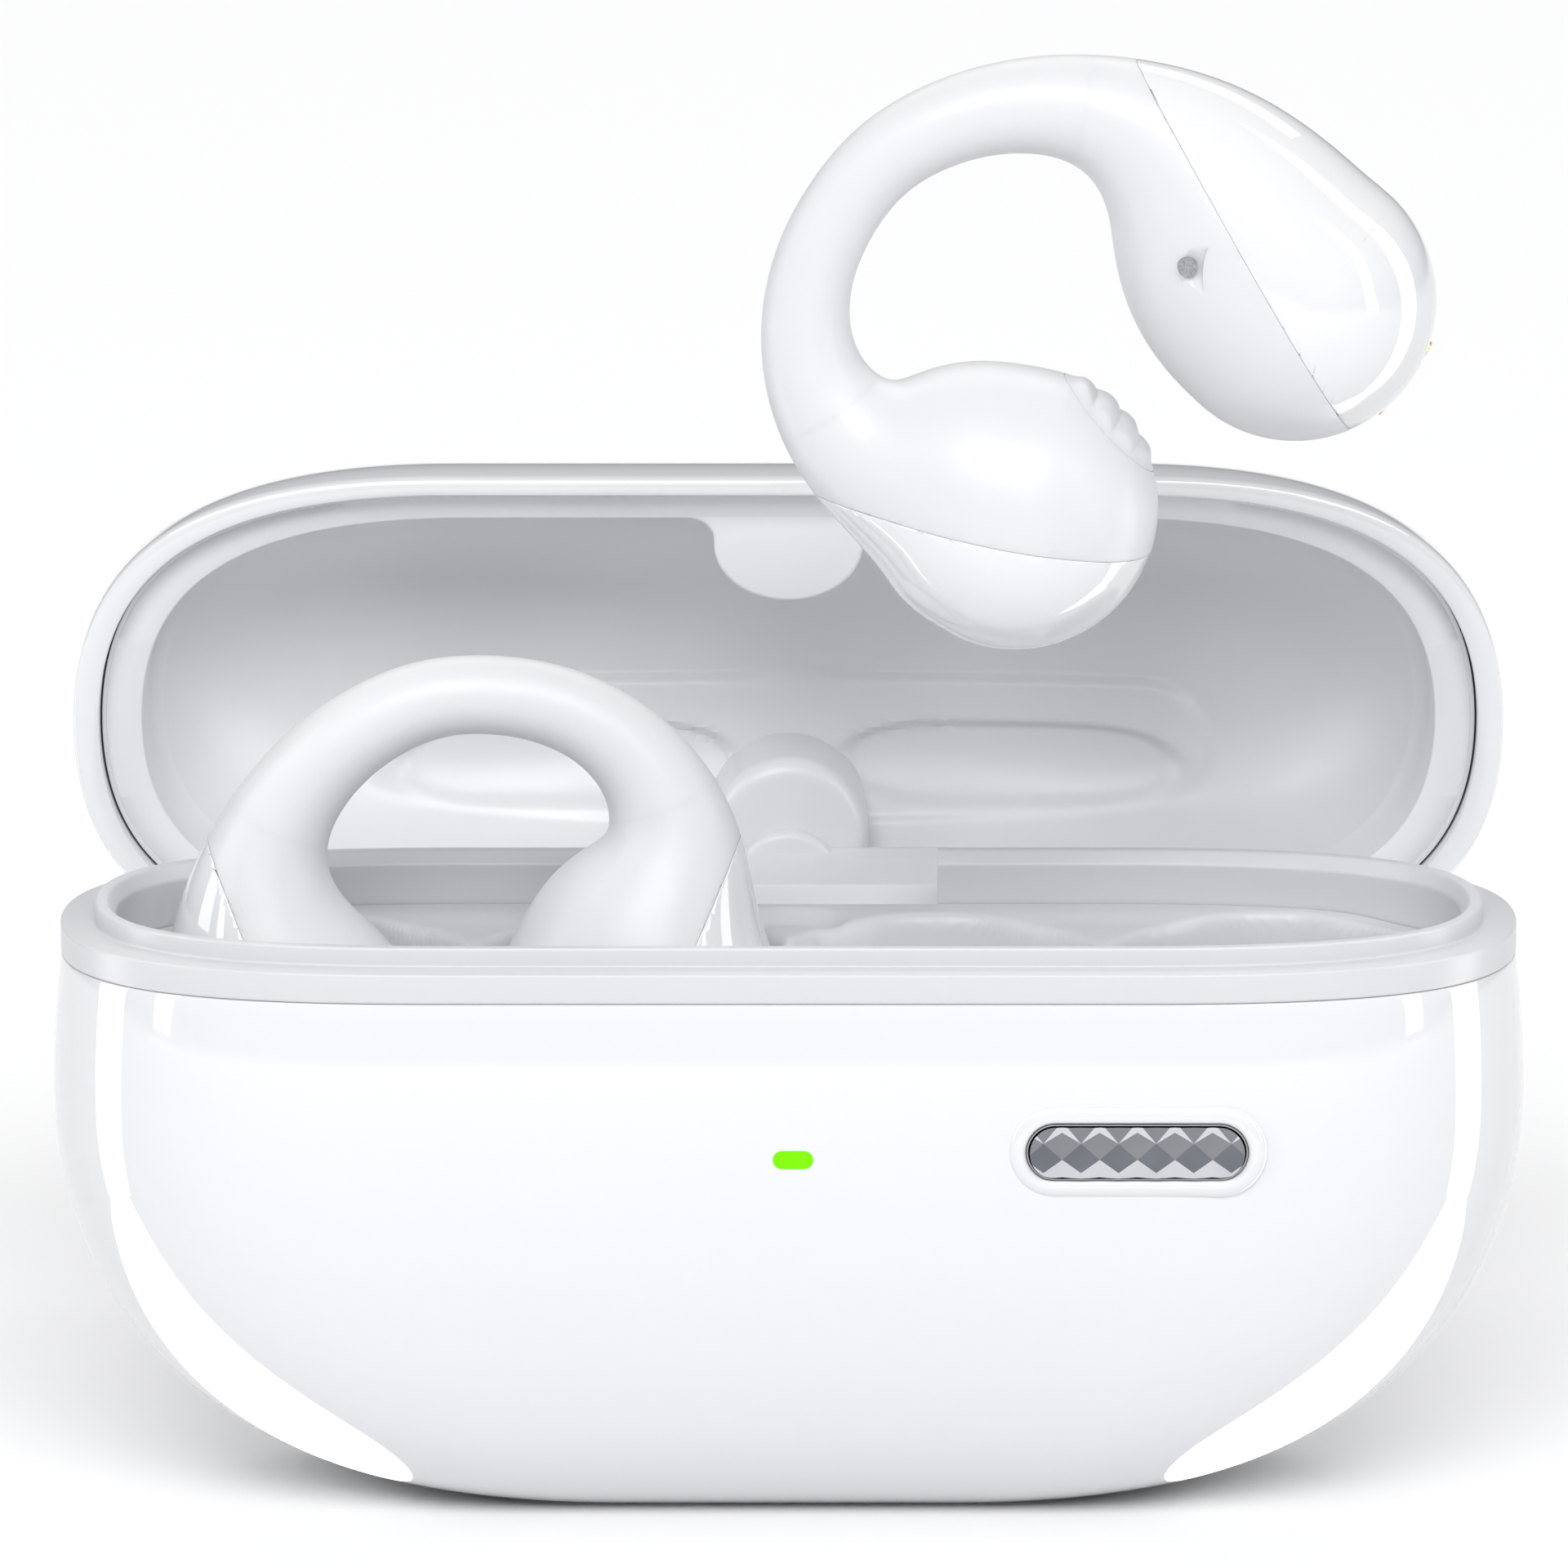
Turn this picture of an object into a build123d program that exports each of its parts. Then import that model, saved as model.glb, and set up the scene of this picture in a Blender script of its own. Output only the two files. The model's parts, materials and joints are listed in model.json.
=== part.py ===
"""Clip-on wireless earbuds in their charging case: lid open, left bud seated, right bud lifted out.

Millimetres. +X right, +Y back, +Z up; the origin is the middle of the case's flat underside.
"""

from build123d import *
from math import atan2, cos, degrees, hypot, radians, sin
import os

# Case, half sizes of its plan outline
CASE_HALF_WIDTH = 33.0
CASE_HALF_DEPTH = 11.9
SEAM_HALF_WIDTH = 32.6
SEAM_HALF_DEPTH = 11.3
BULGE_Z = 18.0
SHELL_TOP_Z = 24.4
SEAM_Z = 25.75
LIP_TOP_Z = 26.6
FLOOR_CUT = 0.6
SHELL_WALL = 1.4
STRAIGHT_SHARE = 0.49
FULLNESS = 0.688

# Rim frame and tray
LIP_HALF_WIDTH = 31.05
LIP_HALF_DEPTH = 9.8
MOUTH_HALF_WIDTH = 30.1
MOUTH_HALF_DEPTH = 8.8
MOUTH_CHAMFER = 0.4
SKIRT_BOTTOM_Z = 21.0
TRAY_TOP_Z = 24.2
TRAY_PLATE = 1.3
CUP_WALL = 1.0
CUP_GAP = 0.3

# Lid
LID_HEIGHT = 14.6
LID_WALL = 1.05
LID_RECESS_Z = 27.0
LINER_TOP_Z = 38.75
CAVITY_HALF_WIDTH = 29.5
CAVITY_HALF_DEPTH = 9.3
TONGUE_RADIUS = 3.6

# Hinge
HINGE_Y = 9.6
HINGE_Z = 21.9
BARREL_RADIUS = 1.45
LUG_RADIUS = 1.15
PIN_RADIUS = 0.6
SLOT_HALF_WIDTH = 6.8
ARM_HALF_WIDTH = 6.4
LUG_HALF_WIDTH = 9.0
RELIEF_RADIUS = 3.72

# Earbud, drawn in the pose that it takes in the case, from the top of its bridge
BUD_SCALE = 0.97
SEAT_X = 14.45
APEX_Z = 37.7
BALL = (-7.9, -16.3, 6.5)
BEAN_TURN = (7.35, -19.1)
BEAN_LOW = (7.25, -20.9, 6.4)
LOBE_THINNING = 0.07
LIFT_LEAN = 0.23
HOVER_SHIFT = -0.75
HOVER_RISE = 37.5
HOVER_TURN = 54.0
CELL_RADIUS = 4.0
GRILLE_ANGLE = -11.5

# Front details
LED_X = 0.2
LED_Z = 17.5
BUTTON_X = 15.4
BUTTON_Z = 17.85
BUTTON_LENGTH = 9.6
BUTTON_HEIGHT = 2.4

# Electronics
BOARD_BOTTOM_Z = 12.6
BOARD_THICKNESS = 0.8
POST_X = 13.4
POST_Y = 4.3
PIN_SPACING = 2.6

os.makedirs("parts", exist_ok=True)


def save(piece, label):
    piece.label = label
    export_step(piece, f"parts/{label}.step")


def case_outline(half_width, half_depth):
    """Face with straight front and back, and ends fuller than an ellipse."""
    straight = STRAIGHT_SHARE * half_width
    reach = straight + (half_width - straight) * FULLNESS
    with BuildLine() as outline:
        Bezier((half_width, 0), (half_width, FULLNESS * half_depth), (reach, half_depth), (straight, half_depth))
        Line((straight, half_depth), (0, half_depth))
        mirror(about=Plane.YZ)
        mirror(about=Plane.XZ)
    make_face(outline.edges())


def bowl_sections(wall):
    """Heights and half sizes of the base, or of its hollow when wall is not zero."""
    drop = BULGE_Z + FLOOR_CUT - (FLOOR_CUT + wall - 0.5 if wall else 0)
    heights = [0, 0.5, 1.4, 2.8, 4.8, 7.5, 11, 14.5, BULGE_Z]
    sections = []
    for height in heights:
        z = wall + height * (BULGE_Z - wall) / BULGE_Z
        share = (1 - ((BULGE_Z - z) / drop) ** 2) ** (1 / 3.6)
        sections.append((z, (CASE_HALF_WIDTH - wall) * share, (CASE_HALF_DEPTH - wall) * share))
    for share in (0.5, 1.0):
        z = BULGE_Z + (SHELL_TOP_Z - BULGE_Z) * share
        width = CASE_HALF_WIDTH - (CASE_HALF_WIDTH - SEAM_HALF_WIDTH) * share**2
        depth = CASE_HALF_DEPTH - (CASE_HALF_DEPTH - SEAM_HALF_DEPTH) * share**2
        sections.append((z, width - wall, depth - wall))
    return sections


def dome_sections(bottom, top, half_width, half_depth):
    """Heights and half sizes of the lid or of a hollow in it, from its rim at SEAM_Z."""
    height = top - SEAM_Z
    start = (bottom - SEAM_Z) / height
    sections = []
    for share in (0, 0.25, 0.45, 0.62, 0.76, 0.87, 0.94, 0.98, 0.996):
        t = start + (1 - start) * share
        size = (1 - t**2.8) ** (1 / 2.8)
        sections.append((SEAM_Z + t * height, half_width * size, half_depth * size))
    return sections


def stack(sections):
    """Loft through case outlines."""
    with BuildPart(mode=Mode.PRIVATE) as body:
        for z, half_width, half_depth in sections:
            with BuildSketch(Plane.XY.offset(z)):
                case_outline(half_width, half_depth)
        loft()
    return body.part


def prism(bottom, top, half_width, half_depth):
    with BuildPart(mode=Mode.PRIVATE) as body:
        with BuildSketch(Plane.XY.offset(bottom)):
            case_outline(half_width, half_depth)
        extrude(amount=top - bottom)
    return body.part


def slot_box(half_width, y_low, y_high, z_low, z_high):
    """Box across the middle of the case."""
    with BuildPart(mode=Mode.PRIVATE) as body:
        with BuildSketch(Plane.XY.offset(z_low)):
            with Locations((0, (y_low + y_high) / 2)):
                Rectangle(2 * half_width, y_high - y_low)
        extrude(amount=z_high - z_low)
    return body.part


def x_cylinder(radius, x_low, x_high, y, z):
    with BuildPart(mode=Mode.PRIVATE) as body:
        with BuildSketch(Plane.YZ.offset(x_low)):
            with Locations((y, z)):
                Circle(radius)
        extrude(amount=x_high - x_low)
    return body.part


def seat(point):
    """Place in the case of a point of the right earbud's own drawing."""
    return SEAT_X + BUD_SCALE * point[0], APEX_Z + BUD_SCALE * point[1]


BALL_X, BALL_Z = seat(BALL)
BALL_RADIUS = BUD_SCALE * BALL[2]
TURN_X, TURN_Z = seat(BEAN_TURN)
LOW_X, LOW_Z = seat(BEAN_LOW)
LOW_RADIUS = BUD_SCALE * BEAN_LOW[2]
BEAN_CUP_X = 21.75
BEAN_CUP_RADIUS = 6.75
BALL_CUP_RADIUS = BALL_RADIUS + CUP_GAP


def cup(x, z, radius, lean, top):
    """Round-bottomed well whose walls follow the way that the bud lifts out."""
    with BuildPart(mode=Mode.PRIVATE) as body:
        with Locations((x, 0, z)):
            Sphere(radius)
        with BuildSketch(Plane.XY.offset(z)) as mouth:
            with Locations((x, 0)):
                Circle(radius)
        extrude(amount=top - z)
        extrude(mouth.sketch, amount=(top - z) * hypot(1, lean), dir=(0, -lean, 1))
    return body.part


# Base shell
outer_bowl = stack(bowl_sections(0))
hinge_slot = slot_box(SLOT_HALF_WIDTH, 8.7, 16, HINGE_Z - 1.75, LIP_TOP_Z + 3)
port_y = 7.6
port_z = 10.9
with BuildPart() as base_shell:
    add(outer_bowl)
    add(stack(bowl_sections(SHELL_WALL)), mode=Mode.SUBTRACT)
    with BuildSketch(Plane.XY.offset(1.0)):
        with GridLocations(2 * POST_X, 2 * POST_Y, 2, 2):
            Circle(1.3)
    extrude(amount=BOARD_BOTTOM_Z - 1.0)
    with BuildSketch(Plane.XY.offset(BOARD_BOTTOM_Z - 5)):
        with GridLocations(2 * POST_X, 2 * POST_Y, 2, 2):
            Circle(0.5)
    extrude(amount=6, mode=Mode.SUBTRACT)
    with BuildSketch(Plane.XZ.offset(8.5)):
        with Locations((LED_X, LED_Z)):
            SlotOverall(1.8, 0.84)
        with Locations((BUTTON_X, BUTTON_Z)):
            SlotOverall(BUTTON_LENGTH + 0.7, BUTTON_HEIGHT + 0.7)
    extrude(amount=6, mode=Mode.SUBTRACT)
    with BuildSketch(Plane.XZ.offset(-port_y)):
        with Locations((0, port_z)):
            SlotOverall(9.3, 3.5)
    extrude(amount=-6, mode=Mode.SUBTRACT)
    add(hinge_slot, mode=Mode.SUBTRACT)
    add(x_cylinder(LUG_RADIUS + 0.1, -LUG_HALF_WIDTH - 0.2, LUG_HALF_WIDTH + 0.2, HINGE_Y, HINGE_Z), mode=Mode.SUBTRACT)
save(base_shell.part, "base_shell")

# Rim frame: the ring under the seam, its ledge, and the lip that the lid closes over
with BuildPart() as relief:
    with BuildSketch(Plane.YZ.offset(-34)):
        with Locations((HINGE_Y, HINGE_Z)):
            Rectangle(8, 8, align=(Align.MIN, Align.MIN))
            Circle(RELIEF_RADIUS, mode=Mode.SUBTRACT)
        with Locations((HINGE_Y, HINGE_Z + 3.85)):
            Rectangle(0.3, 5, align=(Align.MIN, Align.MIN), mode=Mode.SUBTRACT)
    extrude(amount=68)

mouth_chamfer = stack(
    [
        (LIP_TOP_Z - 0.6, MOUTH_HALF_WIDTH, MOUTH_HALF_DEPTH),
        (LIP_TOP_Z, MOUTH_HALF_WIDTH + MOUTH_CHAMFER, MOUTH_HALF_DEPTH + MOUTH_CHAMFER),
    ]
)
with BuildPart() as rim_frame:
    add(prism(SHELL_TOP_Z, SEAM_Z, SEAM_HALF_WIDTH, SEAM_HALF_DEPTH))
    add(prism(SKIRT_BOTTOM_Z, LIP_TOP_Z, LIP_HALF_WIDTH, LIP_HALF_DEPTH))
    add(relief.part, mode=Mode.SUBTRACT)
    add(prism(SKIRT_BOTTOM_Z - 1, LIP_TOP_Z + 1, MOUTH_HALF_WIDTH, MOUTH_HALF_DEPTH), mode=Mode.SUBTRACT)
    add(mouth_chamfer, mode=Mode.SUBTRACT)
    add(hinge_slot, mode=Mode.SUBTRACT)
    add(slot_box(LUG_HALF_WIDTH + 0.3, 7.9, 12, 17, HINGE_Z + 1.8), mode=Mode.SUBTRACT)
save(rim_frame.part, "rim_frame")

# Cradle tray: top plate, hanging flange and four round cups
BALL_LEAN = 0.38
TRAY_HALF_WIDTH = MOUTH_HALF_WIDTH - 0.1
TRAY_HALF_DEPTH = MOUTH_HALF_DEPTH - 0.1
tray_hollow = prism(SKIRT_BOTTOM_Z - 2, TRAY_TOP_Z - TRAY_PLATE, TRAY_HALF_WIDTH - 1, TRAY_HALF_DEPTH - 0.6)
with BuildPart() as tray_cups:
    for side in (-1, 1):
        add(cup(side * BALL_X, BALL_Z, BALL_CUP_RADIUS + CUP_WALL, 0, TRAY_TOP_Z))
        add(cup(side * BEAN_CUP_X, LOW_Z, BEAN_CUP_RADIUS + CUP_WALL, 0, TRAY_TOP_Z))
    add(prism(LOW_Z - 9, TRAY_TOP_Z - 0.2, TRAY_HALF_WIDTH - 0.5, TRAY_HALF_DEPTH - 0.3), mode=Mode.INTERSECT)

with BuildPart() as cradle_tray:
    add(prism(SKIRT_BOTTOM_Z - 1.2, SKIRT_BOTTOM_Z, LIP_HALF_WIDTH - 0.15, LIP_HALF_DEPTH - 0.15))
    add(prism(SKIRT_BOTTOM_Z - 1.2, TRAY_TOP_Z, TRAY_HALF_WIDTH, TRAY_HALF_DEPTH))
    add(tray_hollow, mode=Mode.SUBTRACT)
    add(tray_cups.part)
    for side in (-1, 1):
        ball_lean, bean_lean = (BALL_LEAN, LIFT_LEAN) if side > 0 else (0, 0)
        add(cup(side * BALL_X, BALL_Z, BALL_CUP_RADIUS, ball_lean, TRAY_TOP_Z + 2), mode=Mode.SUBTRACT)
        add(cup(side * BEAN_CUP_X, LOW_Z, BEAN_CUP_RADIUS, bean_lean, TRAY_TOP_Z + 2), mode=Mode.SUBTRACT)
        with BuildSketch(Plane.XY.offset(LOW_Z - BEAN_CUP_RADIUS - 3)):
            with Locations((side * LOW_X, 0)):
                with GridLocations(PIN_SPACING, 1, 2, 1):
                    Circle(0.75)
        extrude(amount=8, mode=Mode.SUBTRACT)
    add(slot_box(LUG_HALF_WIDTH + 0.3, 7.75, 12, 15, HINGE_Z + 1.8), mode=Mode.SUBTRACT)
save(cradle_tray.part, "cradle_tray")

# Front details
with BuildPart() as front_skin:
    add(outer_bowl)
    add(stack([(z, w - 1.25, d - 1.25) for z, w, d in bowl_sections(0)[4:]]), mode=Mode.SUBTRACT)

with BuildPart() as led_lens:
    with BuildSketch(Plane.XZ.offset(8.5)):
        with Locations((LED_X, LED_Z)):
            SlotOverall(1.76, 0.8)
    extrude(amount=6)
    add(front_skin.part, mode=Mode.INTERSECT)
save(led_lens.part, "led_lens")

with BuildPart() as button_bezel:
    with BuildSketch(Plane.XZ.offset(8.5)):
        with Locations((BUTTON_X, BUTTON_Z)):
            SlotOverall(BUTTON_LENGTH + 0.66, BUTTON_HEIGHT + 0.66)
            SlotOverall(BUTTON_LENGTH + 0.12, BUTTON_HEIGHT + 0.12, mode=Mode.SUBTRACT)
    extrude(amount=6)
    add(front_skin.part, mode=Mode.INTERSECT)
save(button_bezel.part, "button_bezel")

FACETS = 5
FACET_PITCH = 1.72
with BuildPart() as button_cap:
    with BuildSketch(Plane.XZ.offset(CASE_HALF_DEPTH - 1.15)):
        with Locations((BUTTON_X, BUTTON_Z)):
            SlotOverall(BUTTON_LENGTH - 0.08, BUTTON_HEIGHT - 0.08)
    extrude(amount=0.55)
    for i in range(FACETS):
        x = BUTTON_X + (i - (FACETS - 1) / 2) * FACET_PITCH
        with BuildSketch(Plane.XZ.offset(CASE_HALF_DEPTH - 0.7)) as diamond:
            with Locations((x, BUTTON_Z)):
                Polygon((-0.82, 0), (0, -0.98), (0.82, 0), (0, 0.98), align=None)
        with BuildSketch(Plane.XZ.offset(CASE_HALF_DEPTH - 0.08)) as peak:
            with Locations((x, BUTTON_Z)):
                Polygon((-0.05, 0), (0, -0.06), (0.05, 0), (0, 0.06), align=None)
        loft([diamond.sketch, peak.sketch])
    with BuildSketch(Plane.XZ.offset(CASE_HALF_DEPTH - 1.5)):
        with Locations((BUTTON_X, BUTTON_Z)):
            Circle(0.7)
    extrude(amount=0.5)
save(button_cap.part, "button_cap")

# Boards, battery and connectors
with BuildPart() as front_board:
    with BuildSketch(Plane.XZ.offset(8.9)):
        with Locations((9.2, 17.4)):
            RectangleRounded(24, 3.6, 0.5)
    extrude(amount=0.6)
save(front_board.part, "front_board")

with BuildPart() as status_led:
    with BuildSketch(Plane.XZ.offset(9.5)):
        with Locations((LED_X, LED_Z)):
            Rectangle(1.6, 0.8)
    extrude(amount=0.5)
    fillet(status_led.faces().sort_by(Axis.Y)[0].edges(), 0.15)
save(status_led.part, "status_led")

with BuildPart() as button_switch:
    with BuildSketch(Plane.XZ.offset(9.5)):
        with Locations((BUTTON_X, BUTTON_Z)):
            RectangleRounded(3.0, 2.2, 0.2)
    extrude(amount=0.3)
    with BuildSketch(Plane.XZ.offset(9.8)):
        with Locations((BUTTON_X, BUTTON_Z)):
            Circle(0.8)
    extrude(amount=0.15)
save(button_switch.part, "button_switch")

with BuildPart() as battery:
    with BuildSketch(Plane.XY.offset(3.0)):
        RectangleRounded(22.5, 11, 1.5)
    extrude(amount=5.9)
    fillet(battery.faces().sort_by(Axis.Z)[-1].edges(), 0.8)
save(battery.part, "battery")

with BuildPart() as battery_pad:
    with BuildSketch(Plane.XY.offset(2.0)):
        RectangleRounded(16, 5.5, 1.5)
    extrude(amount=1.0)
save(battery_pad.part, "battery_pad")

with BuildPart() as main_board:
    with BuildSketch(Plane.XY.offset(BOARD_BOTTOM_Z)):
        with Locations((0, 0.5)):
            RectangleRounded(2 * POST_X + 3.0, 13.5, 1.2)
        with GridLocations(2 * POST_X, 2 * POST_Y, 2, 2):
            Circle(0.6, mode=Mode.SUBTRACT)
    extrude(amount=BOARD_THICKNESS)
save(main_board.part, "main_board")

with BuildPart() as board_chips:
    with BuildSketch(Plane.XY.offset(BOARD_BOTTOM_Z - 0.9)):
        with Locations((-6.5, 1)):
            RectangleRounded(5, 5, 0.2)
        with Locations((6.8, -1.5)):
            RectangleRounded(4, 4, 0.2)
        with Locations((8.6, 3.6)):
            Rectangle(2.2, 1.3)
        with Locations((-10.6, -1.8), (-10.6, 0.4)):
            Rectangle(1.6, 0.9)
    extrude(amount=0.9)
save(board_chips.part, "board_chips")

with BuildPart() as board_screws:
    with BuildSketch(Plane.XY.offset(BOARD_BOTTOM_Z - 4.5)):
        with GridLocations(2 * POST_X, 2 * POST_Y, 2, 2):
            Circle(0.48)
    extrude(amount=4.5 + BOARD_THICKNESS)
    with BuildSketch(Plane.XY.offset(BOARD_BOTTOM_Z + BOARD_THICKNESS)):
        with GridLocations(2 * POST_X, 2 * POST_Y, 2, 2):
            Circle(1.0)
    extrude(amount=0.5)
save(board_screws.part, "board_screws")

with BuildPart() as usb_c_port:
    with BuildSketch(Plane.XZ.offset(-4.6)):
        with Locations((0, port_z)):
            SlotOverall(9.0, 3.2)
    extrude(amount=-6.5)
    with BuildSketch(Plane.XZ.offset(-5.3)):
        with Locations((0, port_z)):
            SlotOverall(8.4, 2.6)
    extrude(amount=-7, mode=Mode.SUBTRACT)
save(usb_c_port.part, "usb_c_port")

with BuildPart() as usb_c_tongue:
    with BuildSketch(Plane.XZ.offset(-5.3)):
        with Locations((0, port_z)):
            Rectangle(6.7, 0.7)
    extrude(amount=-4.6)
save(usb_c_tongue.part, "usb_c_tongue")

with BuildPart() as catch_magnet:
    with BuildSketch(Plane.XY.offset(19.6)):
        with Locations((0, -6.85)):
            Rectangle(3.6, 1.2)
    extrude(amount=3.2)
save(catch_magnet.part, "catch_magnet")

with BuildPart() as cradle_magnets:
    with BuildSketch(Plane.XY.offset(15)):
        with GridLocations(2 * 14.3, 2 * 6.0, 2, 2):
            Circle(1.3)
    extrude(amount=5)
save(cradle_magnets.part, "cradle_magnets")

pin_tip_z = LOW_Z - LOW_RADIUS - 0.12
for side, label in ((-1, "left_charging_pins"), (1, "right_charging_pins")):
    with BuildPart() as pins:
        with BuildSketch(Plane.XY.offset(pin_tip_z - 2.6)):
            with Locations((side * LOW_X, 0)):
                with GridLocations(PIN_SPACING, 1, 2, 1):
                    Circle(0.4)
        extrude(amount=2.6)
        fillet(pins.faces().sort_by(Axis.Z)[-2:].edges(), 0.25)
    save(pins.part, label)

for side, label in ((-1, "left_pin_block"), (1, "right_pin_block")):
    with BuildPart() as pin_block:
        with BuildSketch(Plane.XY.offset(pin_tip_z - 3.6)):
            with Locations((side * LOW_X, 0)):
                RectangleRounded(5.2, 2.6, 0.4)
        extrude(amount=2.0)
        with BuildSketch(Plane.XY.offset(pin_tip_z - 3.1)):
            with Locations((side * LOW_X, 0)):
                with GridLocations(PIN_SPACING, 1, 2, 1):
                    Circle(0.45)
        extrude(amount=4, mode=Mode.SUBTRACT)
    save(pin_block.part, label)

# Hinge and lid, drawn closed; what belongs to the lid is turned open as it is saved
LID_OPENING = 90.0
HINGE_AXIS = Axis((0, HINGE_Y, HINGE_Z), (1, 0, 0))


def opened(piece):
    return piece.rotate(HINGE_AXIS, -LID_OPENING)


with BuildPart() as hinge_pin:
    add(x_cylinder(PIN_RADIUS, -LUG_HALF_WIDTH + 0.2, LUG_HALF_WIDTH - 0.2, HINGE_Y, HINGE_Z))
    chamfer(hinge_pin.edges().filter_by(GeomType.CIRCLE), 0.15)
save(hinge_pin.part, "hinge_pin")

with BuildPart() as hinge_bracket:
    with BuildSketch(Plane.YZ.offset(-LUG_HALF_WIDTH)):
        with Locations((HINGE_Y, HINGE_Z)):
            Circle(LUG_RADIUS)
        with Locations((HINGE_Y - LUG_RADIUS, 17.3)):
            Rectangle(1.6, HINGE_Z - 17.3, align=(Align.MIN, Align.MIN))
    extrude(amount=2 * LUG_HALF_WIDTH)
    add(slot_box(SLOT_HALF_WIDTH - 0.05, 5, 14, HINGE_Z - 2.1, 30), mode=Mode.SUBTRACT)
    add(x_cylinder(PIN_RADIUS + 0.02, -12, 12, HINGE_Y, HINGE_Z), mode=Mode.SUBTRACT)
save(hinge_bracket.part, "hinge_bracket")

with BuildPart() as lid_hinge_arm:
    with BuildSketch(Plane.YZ.offset(-ARM_HALF_WIDTH)):
        with Locations((HINGE_Y, HINGE_Z)):
            Circle(BARREL_RADIUS)
        with BuildLine():
            Polyline(
                (HINGE_Y - 0.65, HINGE_Z),
                (HINGE_Y - 0.65, 33.0),
                (HINGE_Y - 0.15, 33.0),
                (HINGE_Y + 0.4, 30.0),
                (HINGE_Y + 0.4, SEAM_Z - 0.15),
                (HINGE_Y + 1.3, SEAM_Z - 0.15),
                (HINGE_Y + 1.3, HINGE_Z),
                close=True,
            )
        make_face()
    extrude(amount=2 * ARM_HALF_WIDTH)
    add(x_cylinder(PIN_RADIUS + 0.05, -12, 12, HINGE_Y, HINGE_Z), mode=Mode.SUBTRACT)
save(opened(lid_hinge_arm.part), "lid_hinge_arm")

with BuildPart() as lid_shell:
    add(stack(dome_sections(SEAM_Z, SEAM_Z + LID_HEIGHT, SEAM_HALF_WIDTH, SEAM_HALF_DEPTH)))
    inner_half = (SEAM_HALF_WIDTH - LID_WALL - 0.1, SEAM_HALF_DEPTH - LID_WALL - 0.1)
    add(stack(dome_sections(SEAM_Z, SEAM_Z + LID_HEIGHT - LID_WALL, *inner_half)), mode=Mode.SUBTRACT)
save(opened(lid_shell.part), "lid_shell")

liner_outer = dome_sections(LID_RECESS_Z, SEAM_Z + LID_HEIGHT - LID_WALL - 0.1, 31.1, 9.85)
arm_pocket = slot_box(SLOT_HALF_WIDTH, 8.7, 12, LID_RECESS_Z - 1, 33.4)
with BuildPart() as lid_liner:
    add(stack(dome_sections(LID_RECESS_Z, LINER_TOP_Z, CAVITY_HALF_WIDTH, CAVITY_HALF_DEPTH)), mode=Mode.ADD)
    with BuildSketch(Plane.XY.offset(LID_RECESS_Z)):
        with Locations((0, -CAVITY_HALF_DEPTH + 0.3)):
            Circle(TONGUE_RADIUS)
            Rectangle(2 * TONGUE_RADIUS, 4, align=(Align.CENTER, Align.MAX))
    extrude(amount=3.4, mode=Mode.SUBTRACT)
    add(slot_box(SLOT_HALF_WIDTH + 0.8, 7.9, 12, LID_RECESS_Z, 34), mode=Mode.SUBTRACT)
cavity = lid_liner.part
with BuildPart() as lid_liner:
    add(stack(liner_outer))
    add(cavity, mode=Mode.SUBTRACT)
    add(arm_pocket, mode=Mode.SUBTRACT)
    with BuildSketch(Plane.XY.offset(LID_RECESS_Z + 1.2)):
        with Locations((0, -CAVITY_HALF_DEPTH + 1.4)):
            Rectangle(4.4, 1.8)
    extrude(amount=1.6, mode=Mode.SUBTRACT)
save(opened(lid_liner.part), "lid_liner")

with BuildPart() as lid_seal:
    add(prism(LID_RECESS_Z + 0.1, LID_RECESS_Z + 0.7, 31.4, 10.1))
    add(prism(LID_RECESS_Z, LID_RECESS_Z + 1, 31.15, 9.9), mode=Mode.SUBTRACT)
    add(arm_pocket, mode=Mode.SUBTRACT)
save(opened(lid_seal.part), "lid_seal")

with BuildPart() as lid_magnet:
    with BuildSketch(Plane.XY.offset(LID_RECESS_Z + 1.25)):
        with Locations((0, -CAVITY_HALF_DEPTH + 1.4)):
            Rectangle(4.3, 1.7)
    extrude(amount=1.5)
save(opened(lid_magnet.part), "lid_magnet")


# Earbud: circles along the middle of the clip, x, z and radius from the top of the bridge
CLIP = [
    (-8.7, -12.4, 5.55),
    (-9.3, -10.4, 4.15),
    (-9.6, -8.6, 3.15),
    (-9.15, -6.8, 2.6),
    (-8.35, -5.3, 2.27),
    (-7.2, -4.05, 2.05),
    (-5.6, -2.95, 1.92),
    (-3.7, -2.2, 1.86),
    (-1.8, -1.88, 1.82),
    (0, -1.81, 1.81),
    (1.9, -2.1, 1.84),
    (3.7, -2.85, 1.9),
    (5.3, -3.85, 1.97),
    (6.6, -5.0, 2.07),
    (7.8, -6.4, 2.22),
    (8.7, -7.95, 2.47),
    (9.3, -9.8, 3.0),
    (9.45, -11.8, 3.87),
    (9.2, -13.7, 4.8),
    (8.6, -15.8, 5.65),
    (7.9, -17.8, 6.2),
    (7.4, -19.5, 6.4),
]
BRIDGE_FIRST = 3
BRIDGE_LAST = 15


def clip_plane(index):
    """Plane across the clip at one of its circles."""
    before = CLIP[max(index - 1, 0)]
    after = CLIP[min(index + 1, len(CLIP) - 1)]
    angle = atan2(after[1] - before[1], after[0] - before[0])
    x, z = seat(CLIP[index])
    return Plane((x, 0, z), x_dir=(-sin(angle), 0, cos(angle)), z_dir=(cos(angle), 0, sin(angle)))


def section(plane, radius):
    flat = 1 - LOBE_THINNING * min(1, max(0, (radius - 2) / 4))
    with BuildSketch(plane) as oval:
        Ellipse(BUD_SCALE * radius, BUD_SCALE * radius * flat)
    return oval.sketch


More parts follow.
